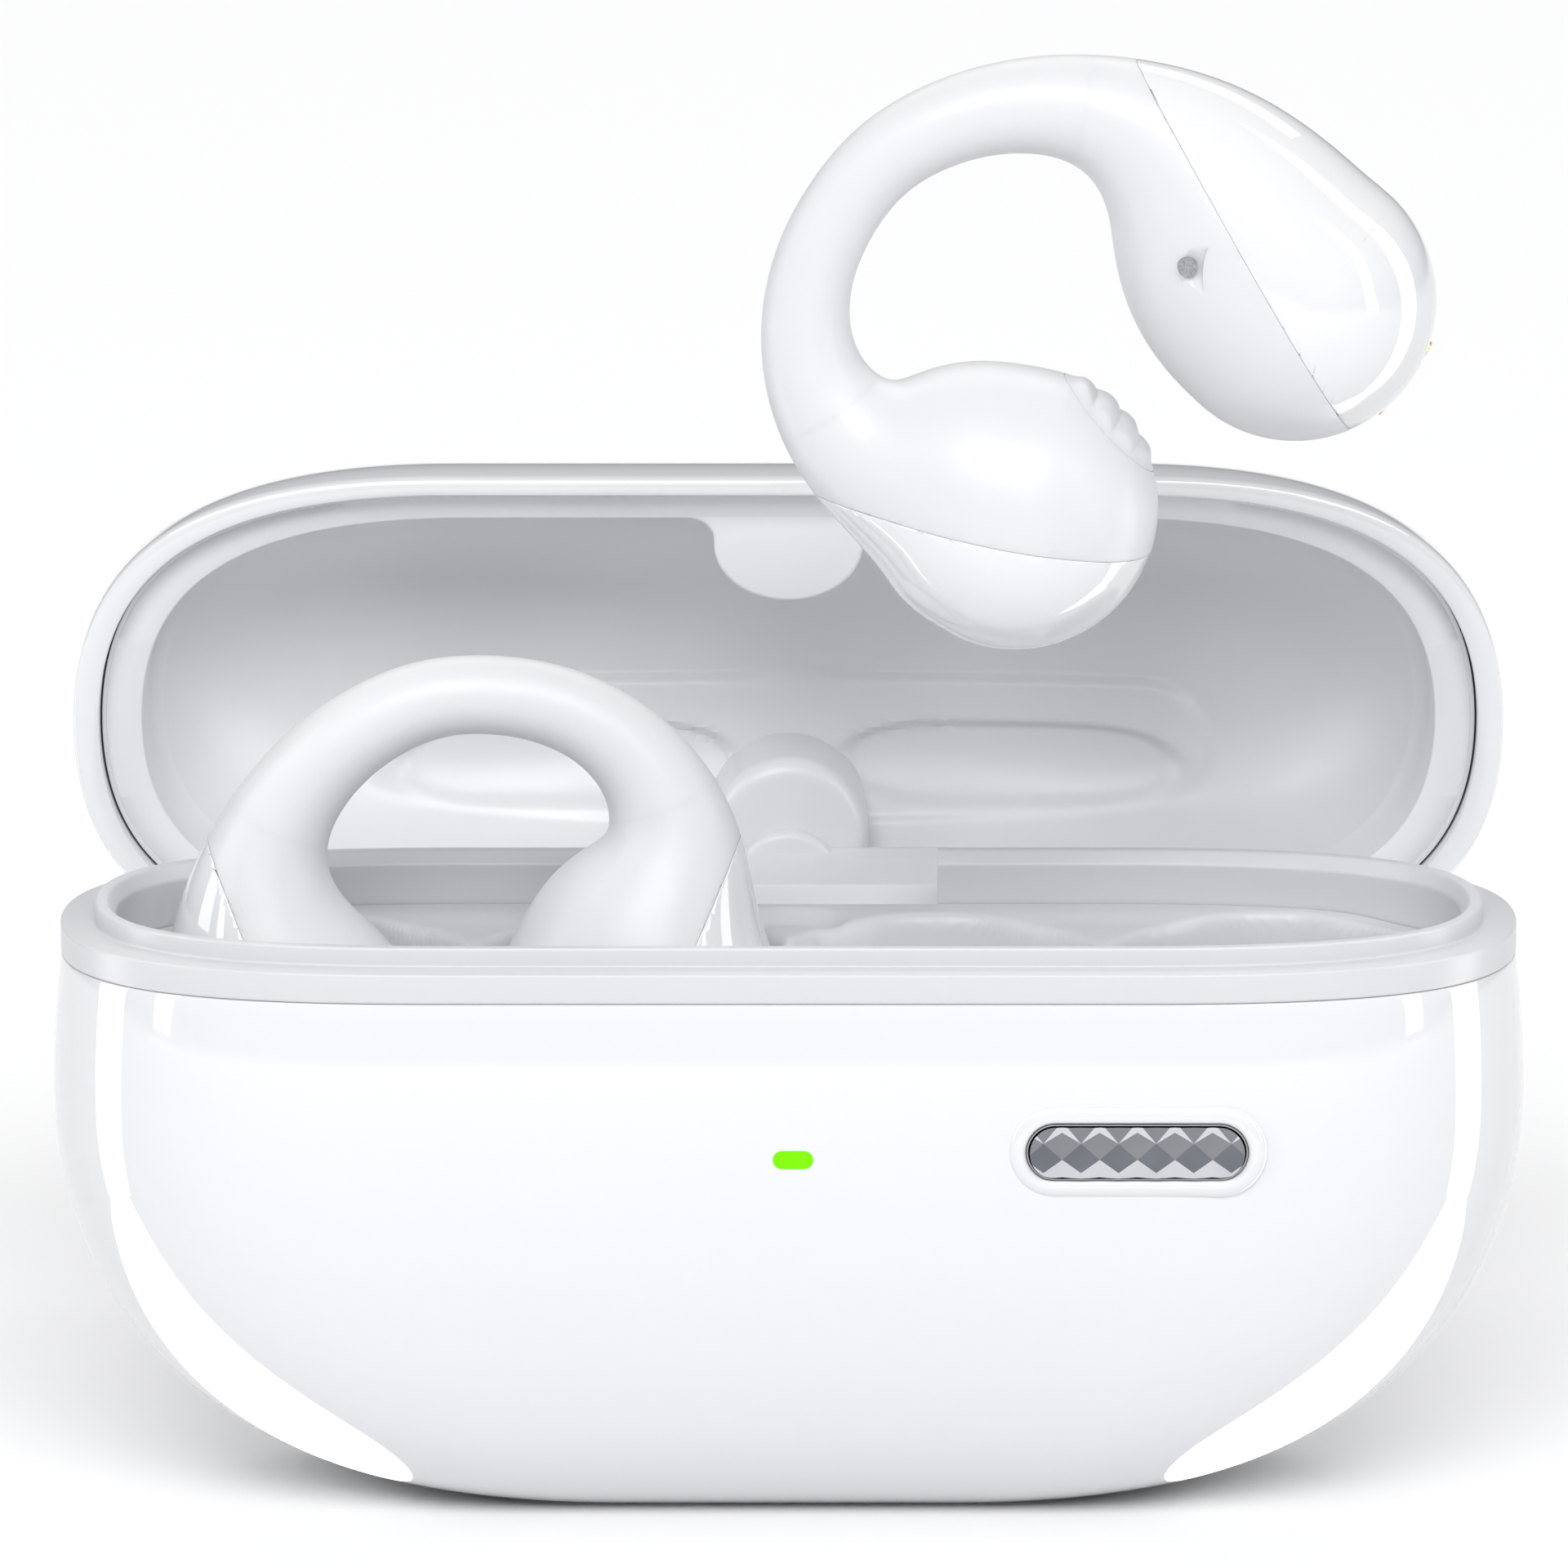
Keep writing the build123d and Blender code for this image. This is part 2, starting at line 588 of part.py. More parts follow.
def round_end(centre, direction, distances):
    """Planes and radii that close a lobe with a sphere's end."""
    x, z, radius = centre
    sections = []
    for distance in distances:
        place = seat((x + distance * direction[0], z + distance * direction[1]))
        normal = (-direction[1], 0, direction[0])
        plane = Plane((place[0], 0, place[1]), x_dir=normal, z_dir=(direction[0], 0, direction[1]))
        sections.append((plane, (radius**2 - distance**2) ** 0.5))
    return sections


ovals = []
for plane, radius in round_end(BALL, (0.246, -0.969), (6.35, 5.9, 4.9, 3.4, 1.6, 0, -1.6)):
    ovals.append(section(Plane(plane.origin, x_dir=-plane.x_dir, z_dir=-plane.z_dir), radius))
for index, circle in enumerate(CLIP):
    ovals.append(section(clip_plane(index), circle[2]))
for plane, radius in round_end(BEAN_LOW, (0, -1), (0, 1.6, 3.2, 4.6, 5.6, 6.2)):
    ovals.append(section(plane, radius))
with BuildPart() as clip_body:
    loft(ovals)


def half_space(low, high, side):
    """Large block on one side of the line through two points of the clip's drawing."""
    a, b = Vector(*seat(low)), Vector(*seat(high))
    along = (b - a).normalized()
    across = Vector(-along.Y, along.X) * side
    far = 30
    with BuildPart(mode=Mode.PRIVATE) as block:
        with BuildSketch(Plane.XZ.offset(-20)):
            with BuildLine():
                Polyline(
                    a - along * far,
                    b + along * far,
                    b + along * far + across * far,
                    a - along * far + across * far,
                    close=True,
                )
            make_face()
        extrude(amount=40)
    return block.part


def cross_line(index):
    """Two points of the line across the clip at one of its circles."""
    plane = clip_plane(index)
    x, z, _ = CLIP[index]
    return (x, z), (x + plane.x_dir.X, z + plane.x_dir.Z)


BALL_SPLIT = ((-5.95, -22.3), (-12.8, -8.2))
BEAN_SPLIT = ((4.0, -26.5), (11.9, -8.6))
ball_outside = half_space(*BALL_SPLIT, 1)
bean_outside = half_space(*BEAN_SPLIT, -1)
gap_x, _ = seat((-0.3, 0))
ball_side = half_space(*cross_line(BRIDGE_FIRST), 1) & Pos(gap_x - 25, 0, 20) * Box(50, 60, 80)
bean_side = half_space(*cross_line(BRIDGE_LAST), -1) & Pos(gap_x + 25, 0, 20) * Box(50, 60, 80)

with BuildPart() as ball_hollow:
    with Locations((BALL_X, 0, BALL_Z)):
        Sphere(BUD_SCALE * 5.35)

hollow_x, hollow_z = seat((8.0, -19.4))
with BuildPart() as bean_hollow:
    with BuildSketch(Plane.XZ) as hollow_profile:
        with Locations((hollow_x, hollow_z)):
            Ellipse(BUD_SCALE * 5.3, BUD_SCALE * 6.7)
            Rectangle(20, 20, align=(Align.MAX, Align.CENTER), mode=Mode.SUBTRACT)
    revolve(axis=Axis((hollow_x, 0, hollow_z), (0, 0, 1)))

grille_way = (cos(radians(GRILLE_ANGLE)), sin(radians(GRILLE_ANGLE)))
grille_plane = Plane(
    (BALL_X, 0, BALL_Z), x_dir=(0, 1, 0), z_dir=(grille_way[0], 0, grille_way[1])
)


def along_grille(radius, near, far, hole_radius=0):
    """Cylinder from the middle of the ball towards the ear, drilled with a ring of holes if asked."""
    with BuildPart(mode=Mode.PRIVATE) as body:
        with BuildSketch(grille_plane.offset(near)):
            Circle(radius)
            if hole_radius:
                with PolarLocations(0.6 * radius, 6):
                    Circle(hole_radius, mode=Mode.SUBTRACT)
                Circle(hole_radius, mode=Mode.SUBTRACT)
        extrude(amount=far - near)
    return body.part


def across_bean(x, z, radius, near, far):
    """Cylinder parallel to Y."""
    with BuildPart(mode=Mode.PRIVATE) as body:
        with BuildSketch(Plane.XZ.offset(-near)):
            with Locations((x, z)):
                Circle(radius)
        extrude(amount=near - far)
    return body.part


with BuildPart() as wire_path:
    with BuildLine() as wire_line:
        Spline([Vector(seat(c)[0], 0, seat(c)[1]) for c in CLIP[BRIDGE_FIRST : BRIDGE_LAST + 1]])


def bridge_rod(radius):
    start = wire_line.line @ 0
    with BuildPart(mode=Mode.PRIVATE) as rod:
        with BuildSketch(Plane(start, z_dir=wire_line.line % 0)):
            Circle(radius)
        sweep(path=wire_line.line)
    return rod.part


mic_x, mic_z = seat((6.3, -15.4))
contact_holes = [(LOW_X - PIN_SPACING / 2, 0), (LOW_X + PIN_SPACING / 2, 0)]

with BuildPart() as ball_housing:
    add(clip_body.part)
    add(ball_side, mode=Mode.INTERSECT)
    add(ball_outside, mode=Mode.SUBTRACT)
    add(ball_hollow.part, mode=Mode.SUBTRACT)
    add(along_grille(2.9, 2, 8), mode=Mode.SUBTRACT)

with BuildPart() as ball_cap:
    add(clip_body.part)
    add(ball_side, mode=Mode.INTERSECT)
    add(ball_outside, mode=Mode.INTERSECT)
    add(ball_hollow.part, mode=Mode.SUBTRACT)

with BuildPart() as speaker_grille:
    add(clip_body.part)
    add(along_grille(2.85, 3.5, 8, hole_radius=0.4), mode=Mode.INTERSECT)
    add(ball_hollow.part, mode=Mode.SUBTRACT)

with BuildPart() as speaker_driver:
    add(along_grille(3.5, 1.2, 2.8))
    add(along_grille(2.6, 2.8, 3.4))

with BuildPart() as earbud_magnet:
    add(across_bean(BALL_X - 2.4, BALL_Z - 2.2, 1.4, -0.8, 0.8))

with BuildPart() as bridge:
    add(clip_body.part)
    add(ball_side, mode=Mode.SUBTRACT)
    add(bean_side, mode=Mode.SUBTRACT)
    add(bridge_rod(0.5), mode=Mode.SUBTRACT)

with BuildPart() as bridge_wire:
    add(bridge_rod(0.42))

with BuildPart() as bean_housing:
    add(clip_body.part)
    add(bean_side, mode=Mode.INTERSECT)
    add(bean_outside, mode=Mode.SUBTRACT)
    add(bean_hollow.part, mode=Mode.SUBTRACT)

with BuildPart() as bean_cap:
    add(clip_body.part)
    add(bean_side, mode=Mode.INTERSECT)
    add(bean_outside, mode=Mode.INTERSECT)
    add(bean_hollow.part, mode=Mode.SUBTRACT)
    with BuildSketch(Plane.XY.offset(LOW_Z - LOW_RADIUS - 1)):
        with Locations(*contact_holes):
            Circle(0.7)
    extrude(amount=4, mode=Mode.SUBTRACT)

with BuildPart() as contacts:
    with BuildSketch(Plane.XY.offset(LOW_Z - LOW_RADIUS + 0.2)):
        with Locations(*contact_holes):
            Circle(0.68)
    extrude(amount=1.0)

with BuildPart() as earbud_board:
    add(across_bean(TURN_X, TURN_Z, 3.3, -3.4, -2.9))

with BuildPart() as coin_cell:
    add(across_bean(TURN_X, TURN_Z, CELL_RADIUS, -2.5, 2.5))
    fillet(coin_cell.edges().filter_by(GeomType.CIRCLE), 0.4)

with BuildPart() as cell_pad:
    add(across_bean(TURN_X, TURN_Z, 3.0, 2.5, 3.0))

EARBUD = {
    "ball_housing": ball_housing,
    "ball_cap": ball_cap,
    "speaker_grille": speaker_grille,
    "speaker_driver": speaker_driver,
    "earbud_magnet": earbud_magnet,
    "bridge": bridge,
    "bridge_wire": bridge_wire,
    "bean_housing": bean_housing,
    "bean_cap": bean_cap,
    "contacts": contacts,
    "earbud_board": earbud_board,
    "coin_cell": coin_cell,
    "cell_pad": cell_pad,
}


def lifted(piece):
    """From the pose in the case to the one above it."""
    turned = piece.rotate(Axis((TURN_X, 0, TURN_Z), (0, 1, 0)), -HOVER_TURN)
    return turned.translate((HOVER_SHIFT, -LIFT_LEAN * HOVER_RISE, HOVER_RISE))


for label, piece in EARBUD.items():
    with BuildPart() as left_piece:
        add(piece.part.rotate(Axis.Z, 180))
        if label == "bean_housing":
            add(across_bean(-mic_x, mic_z, 0.45, -12, 0), mode=Mode.SUBTRACT)
    save(left_piece.part, f"left_{label}")
    with BuildPart() as right_piece:
        add(piece.part)
        if label == "bean_housing":
            add(across_bean(mic_x, mic_z, 0.45, -12, 0), mode=Mode.SUBTRACT)
    save(lifted(right_piece.part), f"right_{label}")

save(across_bean(-mic_x, mic_z, 0.43, -4.9, -4.5), "left_mic_mesh")
save(lifted(across_bean(mic_x, mic_z, 0.43, -4.9, -4.5)), "right_mic_mesh")
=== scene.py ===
import bmesh
import bpy
import numpy as np
from math import cos, hypot, pi, radians, sin, sqrt
from mathutils import Matrix, Vector
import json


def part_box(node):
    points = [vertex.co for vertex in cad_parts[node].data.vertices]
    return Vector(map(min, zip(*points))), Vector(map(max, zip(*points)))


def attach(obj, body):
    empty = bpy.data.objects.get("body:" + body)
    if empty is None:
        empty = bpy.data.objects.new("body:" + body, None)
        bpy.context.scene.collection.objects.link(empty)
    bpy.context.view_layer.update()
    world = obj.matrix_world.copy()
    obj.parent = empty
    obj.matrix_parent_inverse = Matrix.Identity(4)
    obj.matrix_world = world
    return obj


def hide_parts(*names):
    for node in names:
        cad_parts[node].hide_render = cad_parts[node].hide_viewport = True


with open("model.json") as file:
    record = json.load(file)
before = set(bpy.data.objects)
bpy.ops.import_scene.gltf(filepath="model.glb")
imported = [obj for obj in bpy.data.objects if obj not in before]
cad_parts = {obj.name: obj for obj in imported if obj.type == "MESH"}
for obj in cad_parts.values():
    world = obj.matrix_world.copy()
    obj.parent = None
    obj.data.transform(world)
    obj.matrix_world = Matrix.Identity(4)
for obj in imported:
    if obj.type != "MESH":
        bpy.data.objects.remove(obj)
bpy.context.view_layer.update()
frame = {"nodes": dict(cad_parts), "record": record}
MM = 0.001


# ---------------------------------------------------------------- shapes shared with the CAD, in mm
CASE_HALF, SEAM_HALF, BASE_INNER_HALF = (33.0, 11.9), (32.6, 11.3), (31.4, 10.3)
BASE_POWER, LID_POWER = 3.6, 2.8
BULGE_Z, SHELL_TOP_Z, SEAM_Z, LIP_TOP_Z = 18.0, 24.4, 25.75, 26.6
LIP_HALF = (31.05, 9.8)
MOUTH_HALF = (30.1, 8.8)
MOUTH_CHAMFER = 0.4
TRAY_TOP_Z = 24.2
LID_HEIGHT, LID_WALL, RECESS_Z, LINER_TOP_Z = 14.6, 1.05, 27.0, 38.75
LID_INNER_HALF, CAVITY_HALF = (31.42, 10.62), (29.5, 9.3)
HINGE_BUMP, LINER_WALL = 1.5, 0.45
STRAIGHT_SHARE, FULLNESS = 0.49, 0.688
HINGE_Y, HINGE_Z = 9.6, 21.9
LID_FRONT = HINGE_Y + SEAM_Z - HINGE_Z
LIFT_LEAN, HOVER_SHIFT, HOVER_RISE, HOVER_TURN = 0.23, -0.75, 37.5, 54.0
BUD_SCALE, SEAT_X, APEX_Z = 0.97, 14.45, 37.7
BALL = (-7.9, -16.3, 6.5)
BEAN_TURN = (7.35, -19.1)
BEAN_LOW = (7.25, -20.9, 6.4)
LED, LED_HOLE = (0.2, 17.5), (1.8, 0.84)
BUTTON, BUTTON_HOLE = (15.4, 17.85), (9.86, 2.62)
PORT, PORT_HOLE = (0, 10.9), (9.3, 3.5)


def seat(x, z):
    """Place on a seated right bud, from the bud's own X and Z, which start at the top of its bridge."""
    return SEAT_X + BUD_SCALE * x, APEX_Z + BUD_SCALE * z


def front_depth(z):
    """How far the base stands out in front at a height."""
    if z <= BULGE_Z:
        return CASE_HALF[1] * base_share(z)
    share = (z - BULGE_Z) / (SHELL_TOP_Z - BULGE_Z)
    return CASE_HALF[1] - (CASE_HALF[1] - SEAM_HALF[1]) * share**2


def base_share(z):
    """Share of the case's half width and depth that the rounded base has below its widest height."""
    return (1 - ((BULGE_Z - z) / (BULGE_Z + 0.6)) ** 2) ** (1 / BASE_POWER)


def quarter(half_width, half_depth, curve_steps, line_steps):
    """Points from the right end round to the middle of the back."""
    straight = STRAIGHT_SHARE * half_width
    reach = straight + (half_width - straight) * FULLNESS
    side, front = (half_width, FULLNESS * half_depth), (reach, half_depth)
    corners = ((half_width, 0), side, front, (straight, half_depth))
    points = []
    for i in range(curve_steps):
        t = i / curve_steps
        weights = ((1 - t) ** 3, 3 * t * (1 - t) ** 2, 3 * t * t * (1 - t), t**3)
        points.append(tuple(sum(w * c[k] for w, c in zip(weights, corners)) for k in (0, 1)))
    for i in range(line_steps):
        points.append((straight * (1 - i / line_steps), half_depth))
    return points


def outline(half_width, half_depth, curve_steps=44, line_steps=20):
    """Closed outline of the case at one height, from the right end anticlockwise."""
    first = quarter(half_width, half_depth, curve_steps, line_steps)
    second = [(-x, y) for x, y in reversed(quarter(half_width, half_depth, curve_steps, line_steps)[1:])]
    half = first + [(0.0, half_depth)] + second + [(-half_width, 0.0)]
    return half + [(x, -y) for x, y in reversed(half[1:-1])]


# ---------------------------------------------------------------- mesh helpers
def new_object(name, mesh):
    made = bpy.data.objects.new(name, mesh)
    bpy.context.scene.collection.objects.link(made)
    return made


def finish_mesh(made, sharp=35.0):
    """Smooth shading, with edges kept sharp above an angle."""
    mesh = made.data
    mesh.polygons.foreach_set("use_smooth", [True] * len(mesh.polygons))
    mesh.set_sharp_from_angle(angle=radians(sharp))
    return made


def from_bmesh(name, bm, sharp=35.0):
    """New object from a bmesh, which is used up."""
    bmesh.ops.recalc_face_normals(bm, faces=bm.faces)
    mesh = bpy.data.meshes.new(name)
    bm.to_mesh(mesh)
    bm.free()
    return finish_mesh(new_object(name, mesh), sharp)


def ring_solid(rings, close=False):
    """Bmesh solid through rings of equal length. A ring of one point is a pole; open ends are capped."""
    bm = bmesh.new()
    rows = [[bm.verts.new(Vector(p) * MM) for p in ring] for ring in rings]
    pairs = list(zip(rows, rows[1:]))
    if close:
        pairs.append((rows[-1], rows[0]))
    for low, high in pairs:
        count = max(len(low), len(high))
        for i in range(count):
            j = (i + 1) % count
            if len(low) == 1:
                bm.faces.new((low[0], high[j], high[i]))
            elif len(high) == 1:
                bm.faces.new((low[i], low[j], high[0]))
            else:
                bm.faces.new((low[i], low[j], high[j], high[i]))
    if not close:
        for row in (rows[0], rows[-1]):
            if len(row) > 1:
                bm.faces.new(row)
    return bm


def levels_solid(name, levels, sharp=35.0, steps=(44, 20)):
    """Solid through case outlines, each given as height, half width and half depth."""
    rings = [[(x, y, z) for x, y in outline(w, d, *steps)] for z, w, d in levels]
    return from_bmesh(name, ring_solid(rings, close=True), sharp)


def prism_object(name, points, low, high, axis="Z"):
    """Straight solid over a closed outline in the two axes other than its own."""
    if axis == "Z":
        rings = [[(x, y, level) for x, y in points] for level in (low, high)]
    elif axis == "Y":
        rings = [[(x, level, z) for x, z in points] for level in (low, high)]
    else:
        rings = [[(level, y, z) for y, z in points] for level in (low, high)]
    return from_bmesh(name, ring_solid(rings))


def lozenge(x, z, length, height, steps=20):
    """Outline with round ends, about a centre."""
    radius = height / 2
    reach = length / 2 - radius
    points = []
    for side, start in ((1, -pi / 2), (-1, pi / 2)):
        for i in range(steps + 1):
            angle = start + pi * i / steps
            points.append((x + side * reach + radius * cos(angle), z + radius * sin(angle)))
    return points


def circle(x, y, radius, steps=32):
    angles = [2 * pi * i / steps for i in range(steps)]
    return [(x + radius * cos(angle), y + radius * sin(angle)) for angle in angles]


def carve(target, tool, operation="DIFFERENCE"):
    """Exact boolean, applied, after which the tool is gone."""
    change = target.modifiers.new("cut", "BOOLEAN")
    change.operation = operation
    change.solver = "EXACT"
    change.object = tool
    bpy.context.view_layer.update()
    mesh = bpy.data.meshes.new_from_object(target.evaluated_get(bpy.context.evaluated_depsgraph_get()))
    target.modifiers.clear()
    old = target.data
    target.data = mesh
    bpy.data.meshes.remove(old)
    bpy.data.objects.remove(tool)
    return target


def place(made, body, slot, *nodes):
    """Rides on its body, takes its slot's material, and stands for its CAD nodes."""
    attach(made, body)
    if nodes:
        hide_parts(*nodes)
    made.data.materials.clear()
    made.data.materials.append(MATERIALS[slot])
    return made


OPEN = (
    Matrix.Translation((0, HINGE_Y * MM, HINGE_Z * MM))
    @ Matrix.Rotation(radians(-90), 4, "X")
    @ Matrix.Translation((0, -HINGE_Y * MM, -HINGE_Z * MM))
)
TURN_X, TURN_Z = seat(*BEAN_TURN)
LIFT = (
    Matrix.Translation(Vector((HOVER_SHIFT, -LIFT_LEAN * HOVER_RISE, HOVER_RISE)) * MM)
    @ Matrix.Translation((TURN_X * MM, 0, TURN_Z * MM))
    @ Matrix.Rotation(radians(-HOVER_TURN), 4, "Y")
    @ Matrix.Translation((-TURN_X * MM, 0, -TURN_Z * MM))
)
FLIP = Matrix.Rotation(pi, 4, "Z")


# ---------------------------------------------------------------- materials
def nodes_of(name):
    material = bpy.data.materials.new(name)
    material.use_nodes = True
    tree = material.node_tree
    shader = tree.nodes["Principled BSDF"]
    return material, tree, shader


def grain(tree, scale, detail=3.0, distortion=0.0):
    where = tree.nodes.new("ShaderNodeTexCoord")
    noise = tree.nodes.new("ShaderNodeTexNoise")
    noise.inputs["Scale"].default_value = scale
    noise.inputs["Detail"].default_value = detail
    noise.inputs["Distortion"].default_value = distortion
    tree.links.new(where.outputs["Object"], noise.inputs["Vector"])
    return noise.outputs["Fac"]


def span(tree, value, low, high):
    """Maps a noise's middle range to another."""
    reach = tree.nodes.new("ShaderNodeMapRange")
    reach.inputs["From Min"].default_value = 0.3
    reach.inputs["From Max"].default_value = 0.7
    reach.inputs["To Min"].default_value = low
    reach.inputs["To Max"].default_value = high
    tree.links.new(value, reach.inputs["Value"])
    return reach.outputs["Result"]


def two_tone(tree, value, first, second):
    mix = tree.nodes.new("ShaderNodeMix")
    mix.data_type = "RGBA"
    mix.inputs["A"].default_value = (*first, 1)
    mix.inputs["B"].default_value = (*second, 1)
    tree.links.new(value, mix.inputs["Factor"])
    return mix.outputs["Result"]


def lighter_in_lid(tree, colours, lid_colour):
    """The lid's liner is moulded in a lighter shade than the rim and tray in front of it."""
    where = tree.nodes.new("ShaderNodeTexCoord")
    split = tree.nodes.new("ShaderNodeSeparateXYZ")
    reach = tree.nodes.new("ShaderNodeMapRange")
    reach.inputs["From Min"].default_value = LID_FRONT * MM
    reach.inputs["From Max"].default_value = (LID_FRONT + 0.1) * MM
    mix = tree.nodes.new("ShaderNodeMix")
    mix.data_type = "RGBA"
    mix.inputs["B"].default_value = (*lid_colour, 1)
    tree.links.new(where.outputs["Object"], split.inputs["Vector"])
    tree.links.new(split.outputs["Y"], reach.inputs["Value"])
    tree.links.new(reach.outputs["Result"], mix.inputs["Factor"])
    tree.links.new(colours, mix.inputs["A"])
    return mix.outputs["Result"]


def finish(
    name,
    colour,
    other=None,
    roughness=(0.3, 0.4),
    metallic=0.0,
    tone_scale=60.0,
    rough_scale=400.0,
    bump_scale=2500.0,
    bump=0.0,
    bump_height=0.00002,
    coat=0.0,
    coat_roughness=0.05,
    specular=0.5,
    lid_colour=None,
    subsurface=0.0,
    emission=0.0,
    stretch=None,
):
    """Moulded or metal surface: slight change of tone, uneven roughness and fine grain."""
    material, tree, shader = nodes_of(name)
    tone = span(tree, grain(tree, tone_scale, 2.0), 0.0, 1.0)
    colours = two_tone(tree, tone, colour, other or tuple(c * 0.97 for c in colour))
    if lid_colour:
        colours = lighter_in_lid(tree, colours, lid_colour)
    tree.links.new(colours, shader.inputs["Base Color"])
    tree.links.new(span(tree, grain(tree, rough_scale, 4.0), *roughness), shader.inputs["Roughness"])
    shader.inputs["Metallic"].default_value = metallic
    shader.inputs["IOR"].default_value = 1.5
    shader.inputs["Specular IOR Level"].default_value = specular
    shader.inputs["Coat Weight"].default_value = coat
    shader.inputs["Coat Roughness"].default_value = coat_roughness
    if subsurface:
        shader.inputs["Subsurface Weight"].default_value = subsurface
        shader.inputs["Subsurface Radius"].default_value = (0.002, 0.0018, 0.0016)
        shader.inputs["Subsurface Scale"].default_value = 0.5
    if emission:
        tree.links.new(colours, shader.inputs["Emission Color"])
        shader.inputs["Emission Strength"].default_value = emission
    if bump:
        source = grain(tree, bump_scale, 2.0)
        if stretch:
            where = tree.nodes.new("ShaderNodeTexCoord")
            scaled = tree.nodes.new("ShaderNodeMapping")
            scaled.inputs["Scale"].default_value = stretch
            tree.links.new(where.outputs["Object"], scaled.inputs["Vector"])
            tree.links.new(scaled.outputs["Vector"], source.node.inputs["Vector"])
        height = tree.nodes.new("ShaderNodeBump")
        height.inputs["Strength"].default_value = bump
        height.inputs["Distance"].default_value = bump_height
        tree.links.new(source, height.inputs["Height"])
        tree.links.new(height.outputs["Normal"], shader.inputs["Normal"])
    return material


MATERIALS = {
    "gloss_white": finish(
        "gloss_white", (0.7, 0.705, 0.72), (0.69, 0.695, 0.71), (0.05, 0.08),
        coat=0.6, coat_roughness=0.03, tone_scale=30,
    ),
    "satin_white": finish(
        "satin_white", (0.64, 0.645, 0.66), (0.63, 0.635, 0.65), (0.34, 0.44),
        bump=0.25, bump_scale=5000, subsurface=0.1,
    ),
    "soft_white": finish(
        "soft_white", (0.64, 0.645, 0.66), (0.63, 0.635, 0.65), (0.36, 0.46),
        bump=0.25, bump_scale=5000, subsurface=0.1,
    ),
    "satin_grey": finish(
        "satin_grey", (0.59, 0.595, 0.61), (0.58, 0.585, 0.6), (0.28, 0.34),
        rough_scale=150, bump=0.1, bump_scale=5000, lid_colour=(0.74, 0.745, 0.76),
    ),
    "spring_steel": finish(
        "spring_steel", (0.6, 0.6, 0.62), None, (0.2, 0.35),
        metallic=1.0, bump=0.4, bump_scale=1500, stretch=(0.05, 1, 1),
    ),
    "hinge_metal": finish(
        "hinge_metal", (0.62, 0.63, 0.65), None, (0.35, 0.5), metallic=1.0, bump=0.4, bump_scale=6000
    ),
    "green_light": finish(
        "green_light", (0.1, 0.6, 0.003), (0.11, 0.63, 0.004), (0.5, 0.6),
        emission=1.0, tone_scale=900, specular=0.0,
    ),
    "faceted_silver": finish(
        "faceted_silver", (0.68, 0.69, 0.71), (0.64, 0.65, 0.68), (0.08, 0.14), metallic=1.0, tone_scale=500
    ),
    "bezel_chrome": finish("bezel_chrome", (0.35, 0.36, 0.38), None, (0.12, 0.2), metallic=1.0),
    "board_green": finish("board_green", (0.02, 0.14, 0.06), (0.03, 0.2, 0.08), (0.3, 0.45), tone_scale=900),
    "chip_black": finish("chip_black", (0.02, 0.02, 0.022), (0.035, 0.035, 0.035), (0.45, 0.6), bump=0.5),
    "mesh_dark": finish(
        "mesh_dark", (0.2, 0.205, 0.215), (0.34, 0.34, 0.35), (0.5, 0.6), bump=0.8, tone_scale=9000
    ),
    "cell_foil": finish(
        "cell_foil", (0.6, 0.61, 0.63), None, (0.25, 0.45), metallic=1.0, bump=0.5, bump_scale=800
    ),
    "foam_dark": finish(
        "foam_dark", (0.05, 0.05, 0.05), (0.09, 0.09, 0.09), (0.8, 0.95), bump=1.0, bump_scale=3000
    ),
    "seal_rubber": finish("seal_rubber", (0.04, 0.04, 0.042), (0.06, 0.06, 0.06), (0.55, 0.7), bump=0.4),
    "magnet_nickel": finish("magnet_nickel", (0.66, 0.64, 0.6), None, (0.12, 0.22), metallic=1.0),
    "contact_gold": finish("contact_gold", (0.86, 0.62, 0.26), None, (0.15, 0.28), metallic=1.0),
}

slot_of = {entry["node"]: entry["material_slot"] for entry in frame["record"]["subparts"]}
for node, made in frame["nodes"].items():
    made.data.materials.clear()
    made.data.materials.append(MATERIALS[slot_of[node]])


# ---------------------------------------------------------------- base
def base_levels():
    """Outer wall up, rounded top edge, inner wall down."""
    levels = [(0.0, *(c * base_share(0) for c in CASE_HALF))]
    count = 46
    for i in range(1, count + 1):
        z = BULGE_Z * (1 - cos(pi / 2 * i / count)) if i < count else BULGE_Z
        levels.append((z, *(c * base_share(z) for c in CASE_HALF)))
    for i in range(1, 13):
        share = i / 12
        z = BULGE_Z + (SHELL_TOP_Z - 0.12 - BULGE_Z) * share
        levels.append((z, *(c - (c - s) * share**2 for c, s in zip(CASE_HALF, SEAM_HALF))))
    width, depth = SEAM_HALF
    levels += [(SHELL_TOP_Z - 0.04, width - 0.03, depth - 0.03), (SHELL_TOP_Z, width - 0.1, depth - 0.1)]
    levels += [(SHELL_TOP_Z, width - 1.4, depth - 1.4)]
    for z in (20.0, 15.0, 10.0, 6.0, 3.5, 2.2, 1.5):
        share = (1 - (max(0.0, BULGE_Z - z) / (BULGE_Z - 0.9)) ** 2) ** (1 / BASE_POWER)
        levels.append((z, BASE_INNER_HALF[0] * share, BASE_INNER_HALF[1] * share))
    return levels


base_rings = [[(x, y, z) for x, y in outline(w, d)] for z, w, d in base_levels()]
base = from_bmesh("base_shell_skin", ring_solid(base_rings))

